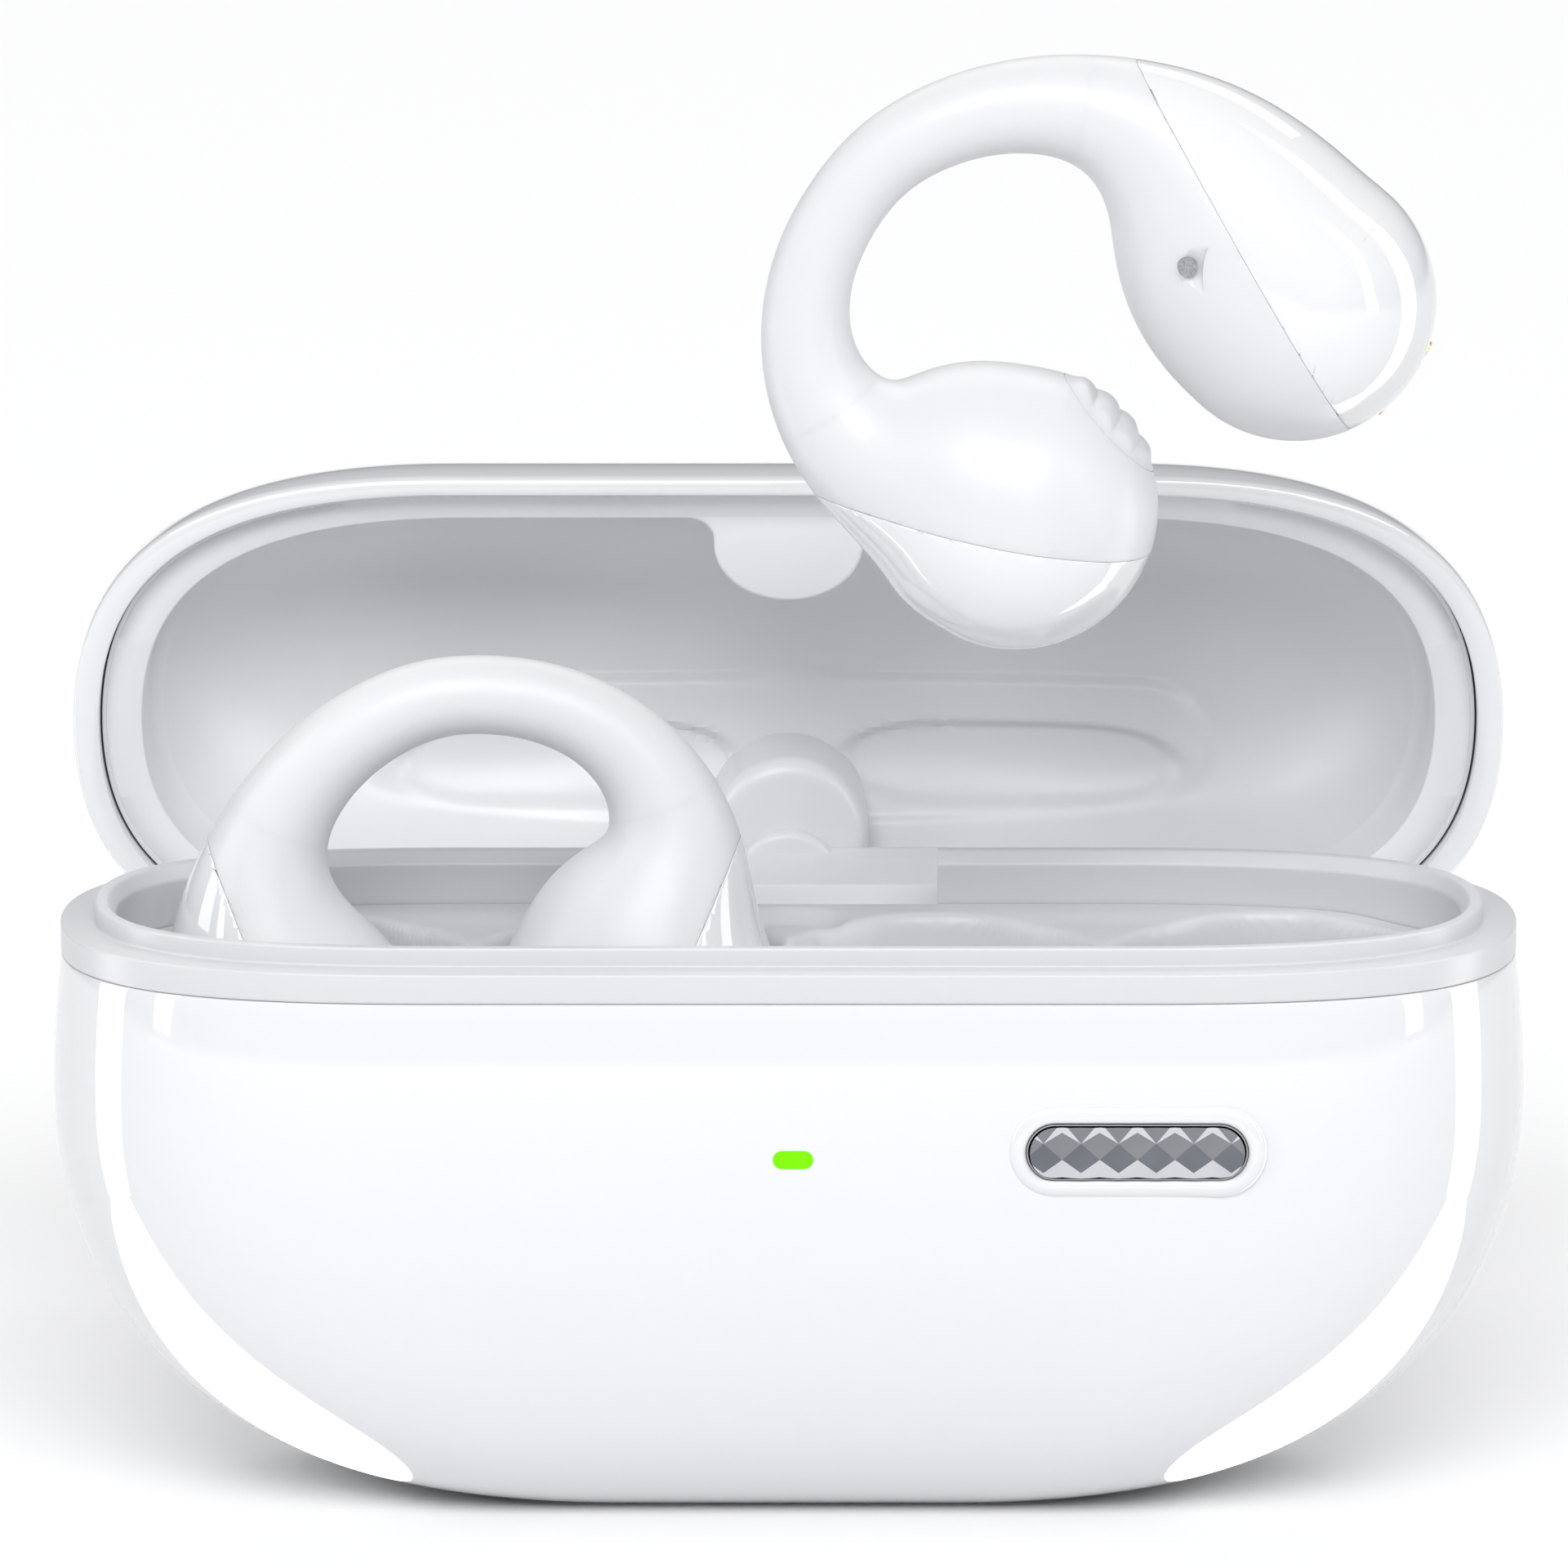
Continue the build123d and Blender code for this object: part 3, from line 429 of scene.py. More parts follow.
SLOT_HALF_WIDTH, SLOT_LOW_Z, SLOT_HIGH_Z = 6.8, HINGE_Z - 1.75, 29.6
HINGE_SLOT = [
    (-SLOT_HALF_WIDTH, SLOT_LOW_Z),
    (SLOT_HALF_WIDTH, SLOT_LOW_Z),
    (SLOT_HALF_WIDTH, SLOT_HIGH_Z),
    (-SLOT_HALF_WIDTH, SLOT_HIGH_Z),
]
FRONT_WALL = (-15, -8.5)
carve(base, prism_object("tool", lozenge(*LED, *LED_HOLE), *FRONT_WALL, "Y"))
carve(base, prism_object("tool", lozenge(*BUTTON, *BUTTON_HOLE), *FRONT_WALL, "Y"))
carve(base, prism_object("tool", lozenge(*PORT, *PORT_HOLE), 7.6, 14, "Y"))
carve(base, prism_object("tool", HINGE_SLOT, 8.7, 16, "Y"))
carve(base, prism_object("tool", circle(HINGE_Y, HINGE_Z, 1.25), -9.2, 9.2, "X"))
finish_mesh(base)
place(base, "case_base", "gloss_white", "base_shell")


# ---------------------------------------------------------------- grey rim with its lip
def rounded_levels(corners, radius, steps=4):
    """Levels round a closed section of (z, width, depth) corners, each eased by a small radius."""
    levels = []
    count = len(corners)
    for i, corner in enumerate(corners):
        here = Vector(corner)
        before = (Vector(corners[i - 1]) - here).normalized() * radius
        after = (Vector(corners[(i + 1) % count]) - here).normalized() * radius
        for k in range(steps + 1):
            t = k / steps
            levels.append(tuple(here + before * (1 - t) ** 2 + after * t**2))
    return levels


rim_corners = [
    (SHELL_TOP_Z + 0.02, *SEAM_HALF),
    (SEAM_Z, *SEAM_HALF),
    (SEAM_Z, *LIP_HALF),
    (LIP_TOP_Z, *LIP_HALF),
    (LIP_TOP_Z, *(c + MOUTH_CHAMFER for c in MOUTH_HALF)),
    (LIP_TOP_Z - 0.6, *MOUTH_HALF),
    (21.0, *MOUTH_HALF),
    (21.0, *LIP_HALF),
    (SHELL_TOP_Z + 0.02, *LIP_HALF),
]
rim = levels_solid("rim_frame_skin", rounded_levels(rim_corners, 0.14))
LID_SWEEP_RADIUS = 3.72
sweep_angles = [radians(4.6 + 85.4 * i / 24) for i in range(25)]
sweep = [(HINGE_Y + LID_SWEEP_RADIUS * sin(a), HINGE_Z + LID_SWEEP_RADIUS * cos(a)) for a in sweep_angles]
carve(rim, prism_object("tool", [(9.9, 30)] + sweep + [(18, HINGE_Z), (18, 30)], -34, 34, "X"))
carve(rim, prism_object("tool", HINGE_SLOT, 7.0, 16, "Y"))
carve(rim, prism_object("tool", [(-9.3, 17), (9.3, 17), (9.3, 23.7), (-9.3, 23.7)], 7.9, 12, "Y"))
finish_mesh(rim)
place(rim, "case_base", "satin_grey", "rim_frame")


# ---------------------------------------------------------------- cradle tray with its round wells
def half_depth_at(x, half_width, half_depth):
    """Half depth of the case outline at a distance from the middle."""
    straight = STRAIGHT_SHARE * half_width
    x = abs(x)
    if x <= straight:
        return half_depth
    reach = straight + (half_width - straight) * FULLNESS
    low, high = 0.0, 1.0
    for _ in range(40):
        t = (low + high) / 2
        along = half_width * ((1 - t) ** 3 + 3 * t * (1 - t) ** 2)
        along = along + 3 * reach * t * t * (1 - t) + straight * t**3
        low, high = (t, high) if along > x else (low, t)
    return half_depth * (3 * FULLNESS * t * (1 - t) ** 2 + 3 * t * t * (1 - t) + t**3)


def swept_well(x, y, centre_x, centre_z, radius, lean):
    """Height of the floor of a round well that was cut along the way the bud lifts out."""
    height = np.full(x.shape, 40.0)
    for rise in np.arange(0, 9.5, 0.1):
        inside = radius**2 - (x - centre_x) ** 2 - (y + lean * rise) ** 2
        floor = centre_z + rise - np.sqrt(np.maximum(inside, 0))
        height = np.where(inside > 0, np.minimum(height, floor), height)
    return height


def soften(height, passes):
    """Averages each height with its neighbours."""
    for _ in range(passes):
        padded = np.pad(height, 1, mode="edge")
        around = padded[:-2, 1:-1] + padded[2:, 1:-1] + padded[1:-1, :-2] + padded[1:-1, 2:]
        height = 0.5 * height + 0.125 * around
    return height


def ease(value, low, high):
    """Smooth step from 0 at one value to 1 at the other."""
    t = np.clip((value - low) / (high - low), 0, 1)
    return t * t * (3 - 2 * t)


def sheet_solid(name, x, y, upper, lower, sharp=35.0):
    """Closed solid between two height grids over the same places."""
    rows, columns = x.shape
    top = np.stack([x, y, upper], -1).reshape(-1, 3) * MM
    bottom = np.stack([x, y, lower], -1).reshape(-1, 3) * MM
    count = rows * columns
    faces = []
    for i in range(rows - 1):
        for j in range(columns - 1):
            a, b = i * columns + j, i * columns + j + 1
            c, d = b + columns, a + columns
            faces.append((a, d, c, b))
            faces.append((a + count, b + count, c + count, d + count))
    edge = [i * columns for i in range(rows)] + [(rows - 1) * columns + j for j in range(1, columns)]
    edge += [i * columns + columns - 1 for i in range(rows - 2, -1, -1)] + list(range(columns - 2, 0, -1))
    for a, b in zip(edge, edge[1:] + edge[:1]):
        faces.append((a, b, b + count, a + count))
    mesh = bpy.data.meshes.new(name)
    mesh.from_pydata(np.concatenate([top, bottom]).tolist(), [], faces)
    bm = bmesh.new()
    bm.from_mesh(mesh)
    bmesh.ops.recalc_face_normals(bm, faces=bm.faces)
    bm.to_mesh(mesh)
    bm.free()
    return finish_mesh(new_object(name, mesh), sharp)


TRAY_HALF, TRAY_WALL = (30.0, 8.7), 0.9
BALL_WELL_RADIUS, BEAN_WELL_RADIUS, BEAN_WELL_X = 6.75, 6.85, 21.75
BALL_LEAN = 0.38
COLUMN_SPREAD = pi / 2 * 0.86
BALL_X, BALL_Z = seat(BALL[0], BALL[1])
LOW_X, LOW_Z = seat(BEAN_LOW[0], BEAN_LOW[1])
columns_x = TRAY_HALF[0] * np.sin(np.linspace(-COLUMN_SPREAD, COLUMN_SPREAD, 330)) / sin(COLUMN_SPREAD)
depths = np.array([max(half_depth_at(x, *TRAY_HALF), 0.02) for x in columns_x])
tray_x, across = np.meshgrid(columns_x, np.linspace(-1, 1, 125), indexing="ij")
tray_y = across * depths[:, None]
tray_z = TRAY_TOP_Z - 0.25 * ease(np.abs(tray_y), 7.6, 5.5)
for side in (-1, 1):
    ball_lean, bean_lean = (BALL_LEAN, LIFT_LEAN) if side > 0 else (0, 0)
    ball_well = swept_well(tray_x, tray_y, side * BALL_X, BALL_Z, BALL_WELL_RADIUS, ball_lean)
    bean_well = swept_well(tray_x, tray_y, side * BEAN_WELL_X, LOW_Z, BEAN_WELL_RADIUS, bean_lean)
    tray_z = np.minimum(np.minimum(tray_z, ball_well), bean_well)
tray_z = soften(tray_z, 7)
for side_y in (-6.6, 6.6):
    dip = 1 - ease(np.hypot(tray_x / 2.6, (tray_y - side_y) / 1.5), 0.55, 1.15)
    tray_z = tray_z - 0.7 * dip
tray = sheet_solid("cradle_tray_skin", tray_x, tray_y, tray_z, tray_z - TRAY_WALL, 60)
for side in (-1, 1):
    for pin in (-1, 1):
        hole = circle(side * LOW_X + pin * 1.3, 0, 0.55)
        carve(tray, prism_object("tool", hole, 6, 14))
finish_mesh(tray, 60)
place(tray, "case_base", "satin_grey", "cradle_tray")


# ---------------------------------------------------------------- lid, drawn closed and turned open
def dome(bottom, top, half_width, half_depth, count):
    """Levels of a dome from its foot up, closer together where it turns over."""
    levels = []
    height = top - SEAM_Z
    start = (max(bottom - SEAM_Z, 0) / height) ** 1.4
    for i in range(count):
        angle = start + (pi / 2 - start) * i / count
        t, size = sin(angle) ** (2 / LID_POWER), cos(angle) ** (2 / LID_POWER)
        levels.append((SEAM_Z + t * height, half_width * size, half_depth * size))
    return levels


def level_rings(levels):
    return [[(x, y, z) for x, y in outline(w, d)] for z, w, d in levels]


lid_top = SEAM_Z + LID_HEIGHT
outer = dome(SEAM_Z, lid_top, *SEAM_HALF, 44)[1:]
inner = dome(SEAM_Z + 1.2, lid_top - LID_WALL, *LID_INNER_HALF, 30)
rim_edge = [
    (SEAM_Z + 1.25, *LID_INNER_HALF),
    (SEAM_Z + 0.1, *LID_INNER_HALF),
    (SEAM_Z + 0.03, 31.45, 10.65),
    (SEAM_Z, 31.52, 10.72),
    (SEAM_Z, SEAM_HALF[0] - 0.16, SEAM_HALF[1] - 0.16),
    (SEAM_Z + 0.05, SEAM_HALF[0] - 0.05, SEAM_HALF[1] - 0.05),
    (SEAM_Z + 0.17, *SEAM_HALF),
]
outer = [level for level in outer if level[0] > SEAM_Z + 0.3]
inner = [level for level in inner if level[0] > SEAM_Z + 1.5]
lid_rings = [[(0, 0, lid_top - LID_WALL)]]
lid_rings += level_rings(inner[::-1] + rim_edge + outer)
lid_rings.append([(0, 0, lid_top)])
lid = from_bmesh("lid_shell_skin", ring_solid(lid_rings))
lid.data.transform(OPEN)
place(lid, "lid", "gloss_white", "lid_shell")


def tongue_outline():
    """Edge of the catch tongue: flared shoulders and a round end, closed inside the flange."""
    radius, shoulder, drop, squeeze = 3.4, 1.3, 0.3, 0.77
    points = []
    for i in range(9):
        angle = pi / 2 * i / 8
        points.append((-radius - shoulder + shoulder * sin(angle), shoulder * (1 - cos(angle))))
    for i in range(33):
        angle = pi * i / 32
        points.append((-radius * cos(angle), shoulder + drop + radius * sin(angle)))
    points += [(-x, y) for x, y in points[8::-1]]
    front = -CAVITY_HALF[1]
    edge = [(x, front + squeeze * y) for x, y in points]
    return [(-radius - shoulder, front - 0.4)] + edge + [(radius + shoulder, front - 0.4)]


def mouth_with_bump(half_width, half_depth, bump):
    """Outline of the lid's hollow, let in at the back for the hinge."""
    points = []
    for x, y in outline(half_width, half_depth, 60, 60):
        if y > 0 and abs(x) < STRAIGHT_SHARE * half_width:
            rise = 1 - min(1, max(0, (abs(x) - 7.2) / 1.6))
            y -= bump * rise * rise * (3 - 2 * rise)
        points.append((x, y))
    return points


liner_rings = []
for z, w, d in dome(RECESS_Z, LINER_TOP_Z + LINER_WALL, 31.25, 10.5, 26)[::-1]:
    liner_rings.append([(x, y, z) for x, y in outline(w, d, 60, 60)])
liner_rings = [ring for ring in liner_rings if ring[0][2] > RECESS_Z + 0.5]
liner_rings.insert(0, [(0, 0, LINER_TOP_Z + LINER_WALL)])
liner_rings.append([(x, y, RECESS_Z + 0.1) for x, y in outline(31.28, 10.53, 60, 60)])
liner_rings.append([(x, y, RECESS_Z) for x, y in outline(31.2, 10.45, 60, 60)])
for rise, w, d in ((0, 29.6, 9.4), (0.05, 29.53, 9.33), (0.16, *CAVITY_HALF), (3.2, 29.4, 9.25)):
    liner_rings.append([(x, y, RECESS_Z + rise) for x, y in mouth_with_bump(w, d, HINGE_BUMP)])
for z, w, d in dome(RECESS_Z + 3.2, LINER_TOP_Z, *CAVITY_HALF, 60):
    if z < RECESS_Z + 3.5:
        continue
    ring = []
    for x, y in mouth_with_bump(w, d, HINGE_BUMP * float(ease(-z, -33.8, -32.2))):
        flat = float(ease(-hypot(x / 28, y / 8.2), -1.0, -0.8))
        plateau = float(ease(-max(abs(x) - 16.5, 0) ** 2 / 9 - ((y - 3.8) / 3.1) ** 2, -1.25, -0.8))
        pocket = float(ease(-(((abs(x) - 10.2) / 7.8) ** 4) - ((y - 4.5) / 1.75) ** 2, -1.2, -0.75))
        ring.append((x, y, z - 0.45 * plateau * flat + 0.55 * pocket * flat))
    liner_rings.append(ring)
liner_rings.append([(0, 0, LINER_TOP_Z)])
liner = from_bmesh("lid_liner_skin", ring_solid(liner_rings), 50)
tongue = prism_object("tool", tongue_outline(), RECESS_Z + 0.001, RECESS_Z + 3.3)
bm = bmesh.new()
bm.from_mesh(tongue.data)
face_edges = [e for e in bm.edges if all(v.co.z < (RECESS_Z + 0.01) * MM for v in e.verts)]
face_edges = [e for e in face_edges if e.verts[0].co.y > -9.4 * MM]
bmesh.ops.bevel(bm, geom=face_edges, offset=0.18 * MM, segments=3, affect="EDGES", profile=0.5)
bm.to_mesh(tongue.data)
bm.free()
carve(liner, tongue, "UNION")
finish_mesh(liner, 50)
liner.data.transform(OPEN)
place(liner, "lid", "satin_grey", "lid_liner")


def hinge_arch(radius, middle_y, back_y, steps):
    """Outline with a round front and a straight back, across the middle of the lid."""
    angles = [pi * i / steps for i in range(steps + 1)]
    front = [(radius * cos(angle), middle_y - radius * sin(angle)) for angle in angles]
    return [(radius, back_y)] + front + [(-radius, back_y)]


def crowned_prism(name, points, low, high, radius, middle):
    """Prism towards low Z with its far edge rounded off."""
    rings = [[(x, y, high) for x, y in points]]
    for i in range(7):
        angle = pi / 2 * i / 6
        shrink = radius * (1 - cos(angle))
        level = low + radius * (1 - sin(angle))
        ring = []
        for x, y in points:
            away = Vector((x - middle[0], y - middle[1]))
            away *= 1 - shrink / max(away.length, 0.1)
            ring.append((middle[0] + away.x, middle[1] + away.y, level))
        rings.append(ring)
    return from_bmesh(name, ring_solid(rings), 40)


hinge_boss = crowned_prism("lid_hinge_boss", hinge_arch(3.7, 6.9, 9.6, 36), 32.4, 38.9, 0.9, (0, 7.2))
hinge_boss.data.transform(OPEN)
place(hinge_boss, "lid", "satin_grey")
knuckle_arch = hinge_arch(2.5, 8.9, 9.5, 28)
knuckle = crowned_prism("lid_hinge_knuckle", knuckle_arch, 31.5, 36, 0.4, (0, 8.8))
knuckle.data.transform(OPEN)
place(knuckle, "lid", "satin_grey")

seal_corners = [
    (RECESS_Z + 0.1, 31.3, 10.5),
    (RECESS_Z + 0.1, 31.41, 10.61),
    (RECESS_Z + 0.6, 31.41, 10.61),
    (RECESS_Z + 0.6, 31.3, 10.5),
]
seal = levels_solid("lid_seal_ring", seal_corners)
seal.data.transform(OPEN)
place(seal, "lid", "seal_rubber", "lid_seal")

trim_corners = [
    (RECESS_Z - 0.12, 31.34, 10.54),
    (RECESS_Z + 0.5, 31.34, 10.54),
    (RECESS_Z + 0.5, 31.1, 10.3),
    (RECESS_Z - 0.12, 31.14, 10.34),
]
trim = levels_solid("lid_trim_ring", rounded_levels(trim_corners, 0.05))
trim.data.transform(OPEN)
place(trim, "lid", "gloss_white")


# ---------------------------------------------------------------- earbuds
CLIP = [
    (-8.7, -12.4, 5.55), (-9.3, -10.4, 4.15), (-9.6, -8.6, 3.15), (-9.15, -6.8, 2.6), (-8.35, -5.3, 2.27),
    (-7.2, -4.05, 2.05), (-5.6, -2.95, 1.92), (-3.7, -2.2, 1.86), (-1.8, -1.88, 1.82), (0, -1.81, 1.81),
    (1.9, -2.1, 1.84), (3.7, -2.85, 1.9), (5.3, -3.85, 1.97), (6.6, -5.0, 2.07), (7.8, -6.4, 2.22),
    (8.7, -7.95, 2.47), (9.3, -9.8, 3.0), (9.45, -11.8, 3.87), (9.2, -13.7, 4.8), (8.6, -15.8, 5.65),
    (7.9, -17.8, 6.2), (7.4, -19.4, 6.38),
]
BALL_WAY = (0.246, -0.969)
BALL_STEPS = 30
BRIDGE_ENDS = (3, 15)
RING_POINTS = 72


def clip_line():
    """Centres and radii from the ball's end to the bean's, close together."""
    line = []
    for i in range(BALL_STEPS):
        along = BALL[2] * cos(pi / 2 * i / 26)
        radius = sqrt(max(BALL[2] ** 2 - along**2, 0))
        line.append((BALL[0] + BALL_WAY[0] * along, BALL[1] + BALL_WAY[1] * along, radius))
    line += CLIP
    for i in range(26, -1, -1):
        along = BEAN_LOW[2] * cos(pi / 2 * i / 26)
        radius = sqrt(max(BEAN_LOW[2] ** 2 - along**2, 0))
        line.append((BEAN_LOW[0], BEAN_LOW[1] - along, radius))
    return np.array(line)


def resample(points, spacing):
    """Smooth curve through the points, and the shares at which it passes each."""
    gaps = np.maximum(np.hypot(np.diff(points[:, 0]), np.diff(points[:, 1])), 1e-4)
    slopes = np.diff(points, axis=0) / gaps[:, None]
    tangents = np.concatenate([slopes[:1], np.zeros((len(points) - 2, 3)), slopes[-1:]])
    ahead, behind = gaps[1:, None], gaps[:-1, None]
    tangents[1:-1] = (slopes[1:] * behind + slopes[:-1] * ahead) / (ahead + behind)
    made, marks = [points[0]], [0]
    for i, gap in enumerate(gaps):
        steps = max(1, round(gap / spacing))
        for k in range(1, steps + 1):
            t = k / steps
            made.append(
                points[i] * (2 * t**3 - 3 * t**2 + 1)
                + tangents[i] * gap * (t**3 - 2 * t**2 + t)
                + points[i + 1] * (3 * t**2 - 2 * t**3)
                + tangents[i + 1] * gap * (t**3 - t**2)
            )
        marks.append(len(made) - 1)
    return np.array(made), marks


raw_line = clip_line()
bud_line, marks = resample(raw_line, 0.2)
calm_from, calm_to = marks[26], marks[len(raw_line) - 27]
for _ in range(60):
    middle = bud_line[calm_from : calm_to + 1]
    middle[1:-1] = 0.5 * middle[1:-1] + 0.25 * (middle[:-2] + middle[2:])
bud_rings = []
for i, (x, z, radius) in enumerate(bud_line):
    before, after = bud_line[max(i - 1, 0)], bud_line[min(i + 1, len(bud_line) - 1)]
    way = Vector((after[0] - before[0], after[1] - before[1])).normalized()
    sx, sz = seat(x, z)
    if radius < 1e-3:
        bud_rings.append([(sx, 0, sz)])
        continue
    flat = 1 - 0.07 * min(1, max(0, (radius - 2) / 4))
    radius *= BUD_SCALE
    ring = []
    for k in range(RING_POINTS):
        angle = 2 * pi * k / RING_POINTS
        out = radius * cos(angle)
        ring.append((sx - way.y * out, radius * flat * sin(angle), sz + way.x * out))
    bud_rings.append(ring)


def cut_side(made, low, high, side, bevel=0.05):
    """Keeps the part of a lobe on one side of a plane across Y and closes it, with a fine eased edge."""
    a, b = Vector(seat(*low)), Vector(seat(*high))
    along = (b - a).normalized()
    normal = Vector((-along.y, 0, along.x)) * side
    bm = bmesh.new()
    bm.from_mesh(made.data)
    where = Vector((a.x, 0, a.y)) * MM
    everything = bm.verts[:] + bm.edges[:] + bm.faces[:]
    bmesh.ops.bisect_plane(bm, geom=everything, plane_co=where, plane_no=normal, clear_inner=True, dist=1e-7)
    rim_edges = [e for e in bm.edges if e.is_boundary]
    bmesh.ops.edgeloop_fill(bm, edges=rim_edges)
    rim_edges = [e for e in bm.edges if len(e.link_faces) == 2]
    rim_edges = [e for e in rim_edges if any(len(f.verts) > 8 for f in e.link_faces)]
    rim_edges = [e for e in rim_edges if all(abs((v.co - where).dot(normal)) < 1e-6 for v in e.verts)]
    bmesh.ops.bevel(bm, geom=rim_edges, offset=bevel * MM, segments=2, affect="EDGES", profile=0.5)
    bmesh.ops.recalc_face_normals(bm, faces=bm.faces)
    bm.to_mesh(made.data)
    bm.free()
    return finish_mesh(made)


def turned_prism(points, low, high, angle, centre):
    """Round tool along a direction in X and Z."""
    tool = prism_object("tool", points, low, high)
    to_centre = Matrix.Translation(Vector((centre[0], 0, centre[1])) * MM)
    tool.data.transform(to_centre @ Matrix.Rotation(angle, 4, "Y"))
    return tool


ball_end, bean_start = (marks[BALL_STEPS + end] for end in BRIDGE_ENDS)
BALL_SPLIT = ((-5.95, -22.3), (-12.8, -8.2))
BEAN_SPLIT = ((4.0, -26.5), (11.9, -8.6))
GRILLE_TURN = radians(90 + 11.5)
GRILLE_RIB, GRILLE_BASE = 1.35, 5.0
mic_x, mic_z = seat(6.3, -15.4)


def lobe(name, rings):
    return from_bmesh(name, ring_solid(rings))


ball_rings, bean_rings = bud_rings[: ball_end + 1], bud_rings[bean_start:]
pieces = {}
pieces["ball_housing"] = cut_side(lobe("ball_housing_skin", ball_rings), *BALL_SPLIT, -1)
pieces["ball_cap"] = cut_side(lobe("ball_cap_skin", ball_rings), *BALL_SPLIT, 1)
pieces["bean_housing"] = cut_side(lobe("bean_housing_skin", bean_rings), *BEAN_SPLIT, 1)
pieces["bean_cap"] = cut_side(lobe("bean_cap_skin", bean_rings), *BEAN_SPLIT, -1)
pieces["bridge"] = lobe("bridge_skin", bud_rings[ball_end : bean_start + 1])
grille = lobe("speaker_grille_skin", ball_rings)
ball_centre = (BALL_X, BALL_Z)
carve(pieces["ball_housing"], turned_prism(circle(0, 0, 2.9, 64), 4.4, 9, GRILLE_TURN, ball_centre))
carve(grille, turned_prism(circle(0, 0, 2.87, 64), 4.5, 9, GRILLE_TURN, ball_centre), "INTERSECT")
grille_axis = Vector((sin(GRILLE_TURN), 0, cos(GRILLE_TURN)))
grille_across = Vector((-cos(GRILLE_TURN), 0, sin(GRILLE_TURN)))
ball_middle = Vector((BALL_X, 0, BALL_Z)) * MM
bm = bmesh.new()
bm.from_mesh(grille.data)
middles = {face: face.calc_center_median() - ball_middle for face in bm.faces}
outer_faces = [face for face, middle in middles.items() if middle.dot(grille_axis) > GRILLE_BASE * MM]
outer_edges = list({edge for face in outer_faces for edge in face.edges})
bmesh.ops.subdivide_edges(bm, edges=outer_edges, cuts=2, use_grid_fill=True)
for vert in bm.verts:
    offset = (vert.co - ball_middle) / MM
    out = offset.dot(grille_axis)
    if out > GRILLE_BASE:
        along = offset.dot(grille_across)
        away = hypot(along, offset.y)
        rise = 0.2 * abs(sin(pi * along / GRILLE_RIB))
        vert.co += grille_axis * MM * rise * (1 - float(ease(away, 2.2, 2.75)))
bm.to_mesh(grille.data)
bm.free()
pieces["speaker_grille"] = grille


def front_of(made, x, z):
    """How far a piece stands out in front at a point, in millimetres."""
    bpy.context.view_layer.update()
    _, where, _, _ = made.ray_cast(Vector((x, -40, z)) * MM, Vector((0, 1, 0)))
    return where.y / MM


def mic_tool(x, z, front):
    """Round hole with a flared mouth, along Y."""
    rings = []
    for y, radius in ((front - 0.3, 1.3), (front + 0.02, 0.72), (front + 0.1, 0.4), (front + 2, 0.38)):
        rings.append([(px, y, pz) for px, pz in circle(x, z, radius)])
    return from_bmesh("tool", ring_solid(rings))


mic_front = front_of(pieces["bean_housing"], mic_x, mic_z)
NODE_SLOTS = {
    "ball_housing": "satin_white", "ball_cap": "gloss_white", "bean_housing": "satin_white",
    "bean_cap": "gloss_white", "bridge": "soft_white", "speaker_grille": "satin_white",
}
for part, made in pieces.items():
    other = new_object(f"left_{part}_skin", made.data.copy())
    other.data.transform(FLIP)
    if part == "bean_housing":
        carve(other, mic_tool(-mic_x, mic_z, mic_front))
        carve(made, mic_tool(mic_x, mic_z, mic_front))
    for piece in (made, other):
        finish_mesh(piece)
    made.name = f"right_{part}_skin"
    made.data.transform(LIFT)
    place(made, "right_earbud", NODE_SLOTS[part], f"right_{part}")
    place(other, "left_earbud", NODE_SLOTS[part], f"left_{part}")


# ---------------------------------------------------------------- button: raised rim, plated frame, facets
def button_ring(name, profile, length, height):
    """Ring round the button, through (offset, how far it stands out of the case) points."""
    rings = []
    for offset, out in profile:
        around = lozenge(*BUTTON, length + 2 * offset, height + 2 * offset)
        rings.append([(x, -front_depth(z) - out, z) for x, z in around])
    return from_bmesh(name, ring_solid(rings, close=True))


surround_profile = [
    (0, -0.5), (0, 0.0), (0.03, 0.07), (0.12, 0.13), (0.26, 0.15),
    (0.42, 0.13), (0.58, 0.07), (0.72, 0.01), (0.8, -0.1), (0.8, -0.5),
]
place(button_ring("button_surround", surround_profile, *BUTTON_HOLE), "case_base", "gloss_white")
frame_profile = [(0, -0.9), (0, -0.02), (0.03, 0.03), (0.09, 0.03), (0.12, -0.02), (0.12, -0.9)]
bezel = button_ring("button_bezel_skin", frame_profile, 9.6, 2.36)
place(bezel, "case_base", "bezel_chrome", "button_bezel")

FACET_STEP = 0.83
EVEN_COLUMN = ((1.4, 0.1), (0.9, 0.1), (-0.26, 0.42), (-1.4, 0.0))
ODD_COLUMN = ((1.4, 0.05), (0.445, 0.3), (-0.84, 0.5), (-1.4, 0.2))
cap_low, cap_high = (tuple(c / MM for c in corner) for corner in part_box("button_cap"))
facet_columns = 7
bm = bmesh.new()
lattice = []
for i in range(-facet_columns, facet_columns + 1):
    x = BUTTON[0] + i * FACET_STEP
    heights = ODD_COLUMN if i % 2 else EVEN_COLUMN
    front_points = [Vector((x, cap_low[1] + 0.52 - out, BUTTON[1] + z)) for z, out in heights]
    back_points = [Vector((x, cap_high[1] - 0.05, BUTTON[1] + z)) for z in (-1.4, 1.4)]
    column = [bm.verts.new(point * MM) for point in front_points + back_points]
    lattice.append(column)
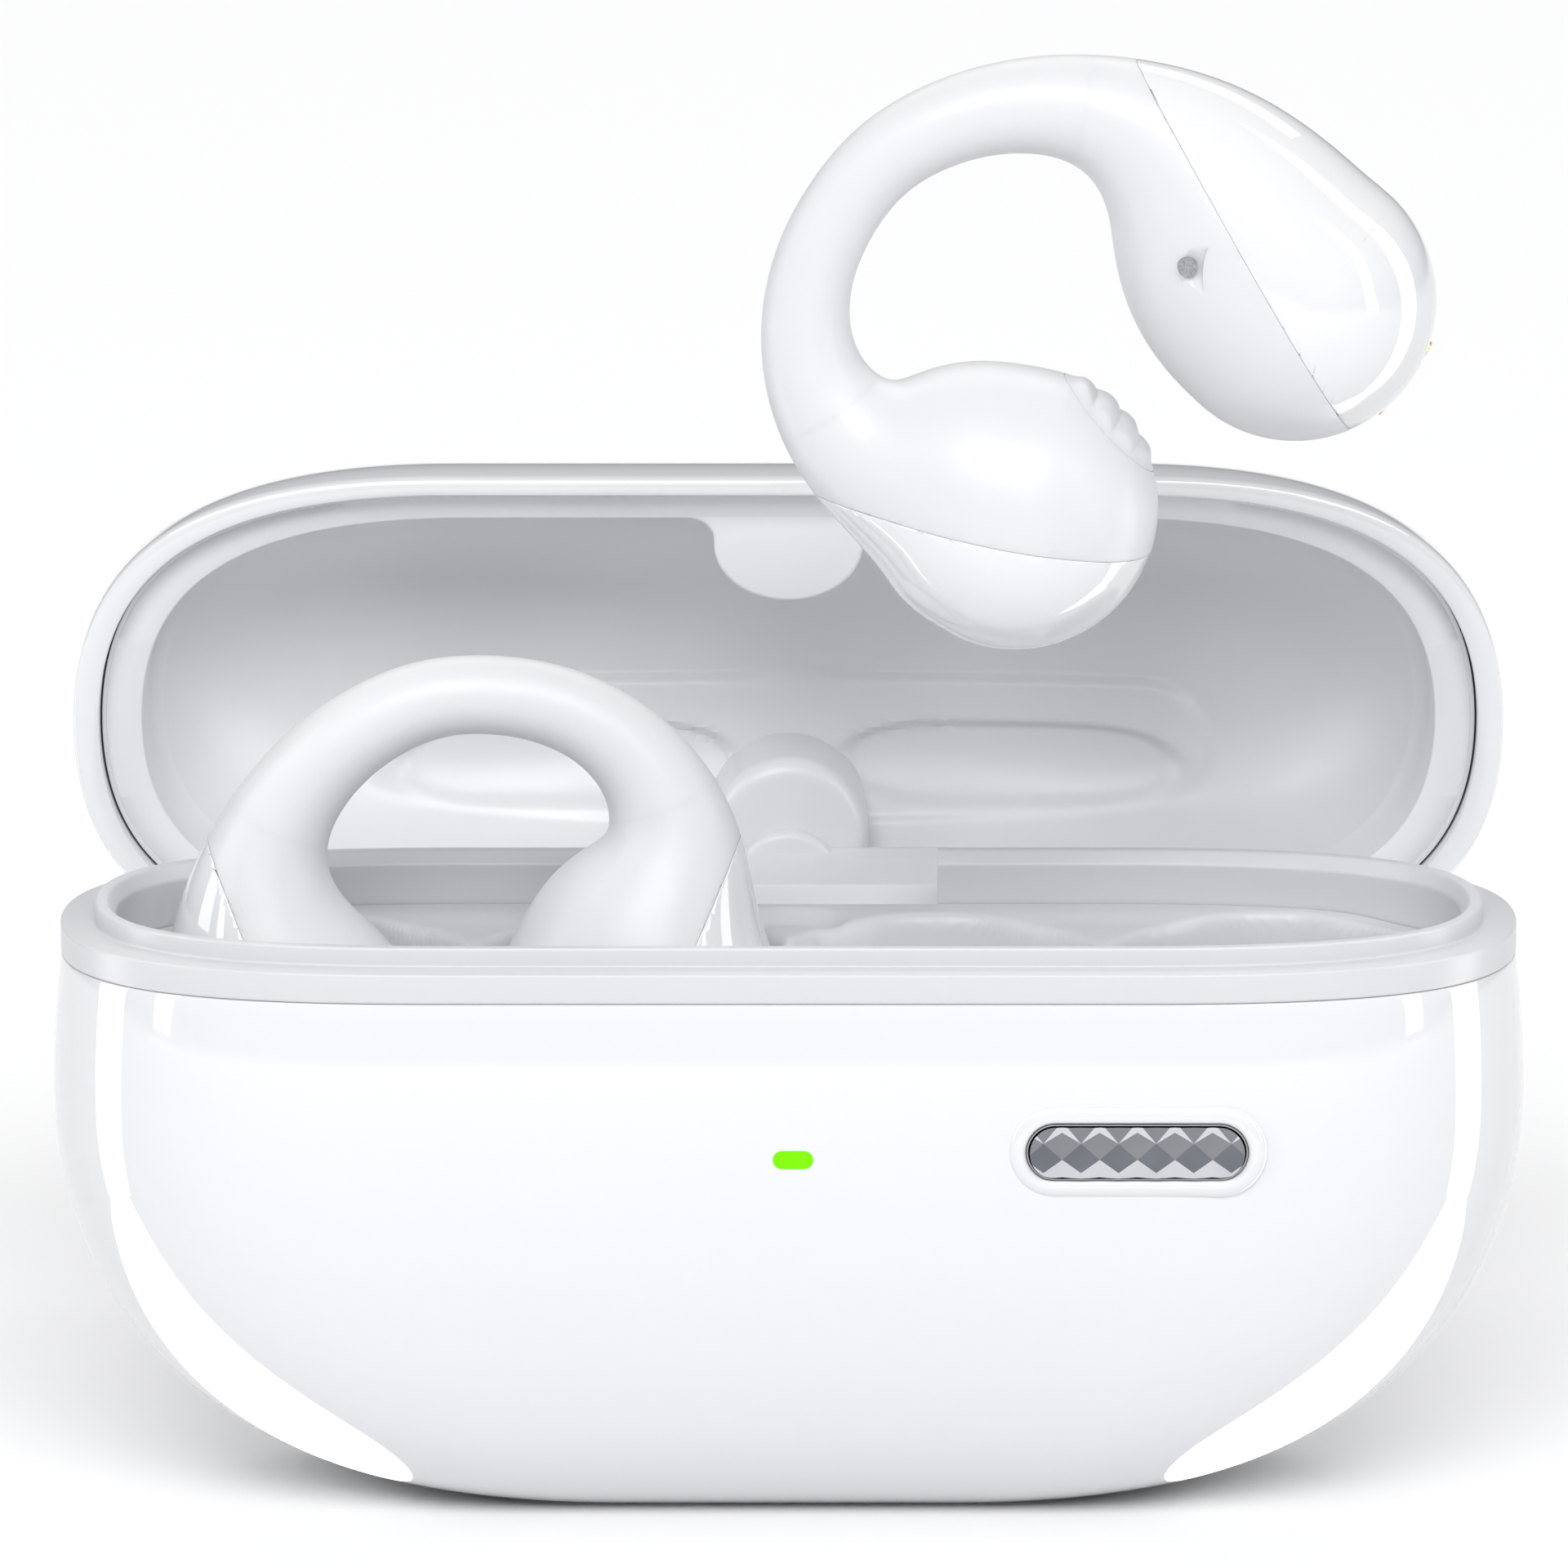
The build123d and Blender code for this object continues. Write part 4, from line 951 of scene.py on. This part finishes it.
for i, (one, two) in enumerate(zip(lattice, lattice[1:])):
    even, odd = (two, one) if i % 2 == 0 else (one, two)
    for corners in ((even[0], even[1], odd[1]), (even[0], odd[1], odd[0]), (even[1], even[2], odd[1])):
        bm.faces.new(corners)
    for corners in ((even[2], odd[2], odd[1]), (even[2], even[3], odd[2]), (even[3], odd[3], odd[2])):
        bm.faces.new(corners)
    for a, b in ((3, 4), (4, 5), (5, 0)):
        bm.faces.new((even[a], even[b], odd[b], odd[a]))
for column in (lattice[0], lattice[-1]):
    bm.faces.new(column)
cap = from_bmesh("button_cap_skin", bm)
carve(cap, prism_object("tool", lozenge(*BUTTON, 9.5, 2.26), -20, 0, "Y"), "INTERSECT")
finish_mesh(cap, 2)
place(cap, "button", "faceted_silver", "button_cap")


# ---------------------------------------------------------------- stage, light and camera
def stage_finish():
    material, _, shader = nodes_of("floor_paper")
    shader.inputs["Base Color"].default_value = (0.85, 0.85, 0.855, 1)
    shader.inputs["Roughness"].default_value = 0.9
    shader.inputs["Specular IOR Level"].default_value = 0.1
    return material


FLOOR_REACH = 6
floor_mesh = bpy.data.meshes.new("studio_floor")
corner_signs = ((-1, -1), (1, -1), (1, 1), (-1, 1))
floor_corners = [(x * FLOOR_REACH, y * FLOOR_REACH, -0.0002) for x, y in corner_signs]
floor_mesh.from_pydata(floor_corners, [], [(0, 1, 2, 3)])
floor = new_object("studio_floor", floor_mesh)
floor.data.materials.append(stage_finish())

world = bpy.data.worlds.new("studio")
bpy.context.scene.world = world
world.use_nodes = True
sky = world.node_tree
backdrop = sky.nodes["Background"]
where = sky.nodes.new("ShaderNodeTexCoord")
split = sky.nodes.new("ShaderNodeSeparateXYZ")
ramp = sky.nodes.new("ShaderNodeValToRGB")
ramp.color_ramp.elements[0].position = 0.0
ramp.color_ramp.elements[0].color = (0.36, 0.38, 0.43, 1)
ramp.color_ramp.elements[1].position = 0.55
ramp.color_ramp.elements[1].color = (1.0, 1.0, 1.0, 1)
sky.links.new(where.outputs["Generated"], split.inputs["Vector"])
sky.links.new(split.outputs["Z"], ramp.inputs["Fac"])
sky.links.new(ramp.outputs["Color"], backdrop.inputs["Color"])
backdrop.inputs["Strength"].default_value = 0.6


def softbox(name, location, target, width, height, power):
    light = bpy.data.lights.new(name, "AREA")
    light.shape = "RECTANGLE"
    light.size, light.size_y = width, height
    light.energy = power
    lamp = new_object(name, light)
    lamp.location = location
    lamp.rotation_euler = (Vector(target) - Vector(location)).to_track_quat("-Z", "Y").to_euler()
    return lamp


softbox("key_softbox", (0.0, -1.05, 0.95), (0, 0, 0.02), 1.2, 0.7, 14)
softbox("back_softbox", (0, 0.85, 0.9), (0, 0.6, 0), 1.6, 0.5, 5)
softbox("left_softbox", (-0.75, -0.45, 0.35), (0, 0, 0.03), 0.14, 0.7, 1.4)
softbox("right_softbox", (0.75, -0.45, 0.35), (0, 0, 0.03), 0.14, 0.7, 1.4)


def reflection_strip(name, location, turn, width, height, power):
    """Light seen only as a reflection in the glossy shell."""
    strip = softbox(name, location, (0, 0, 0), width, height, power)
    strip.data.shape = "ELLIPSE"
    strip.rotation_euler = turn
    strip.visible_diffuse = False
    strip.visible_camera = False


for name, side in (("left", -1), ("right", 1)):
    beside, below = (side * 0.062, -0.006, 0.05), (side * 0.042, -0.006, 0.0005)
    reflection_strip(f"{name}_upright_strip", beside, (pi / 2, 0, side * pi / 2), 0.014, 0.2, 0.024)
    reflection_strip(f"{name}_floor_strip", below, (pi, 0, 0), 0.05, 0.014, 0.006)

camera_data = bpy.data.cameras.new("camera")
camera_data.sensor_width = 36
camera_data.lens = 344
camera_data.clip_start = 0.01
camera = new_object("camera", camera_data)
aim, distance, elevation = Vector((-0.0002, 0, 0.0318)), 0.67, radians(13)
camera.location = aim + Vector((0, -cos(elevation), sin(elevation))) * distance
camera.rotation_euler = (aim - camera.location).to_track_quat("-Z", "Y").to_euler()
bpy.context.scene.camera = camera
bpy.context.scene.view_settings.view_transform = "Standard"
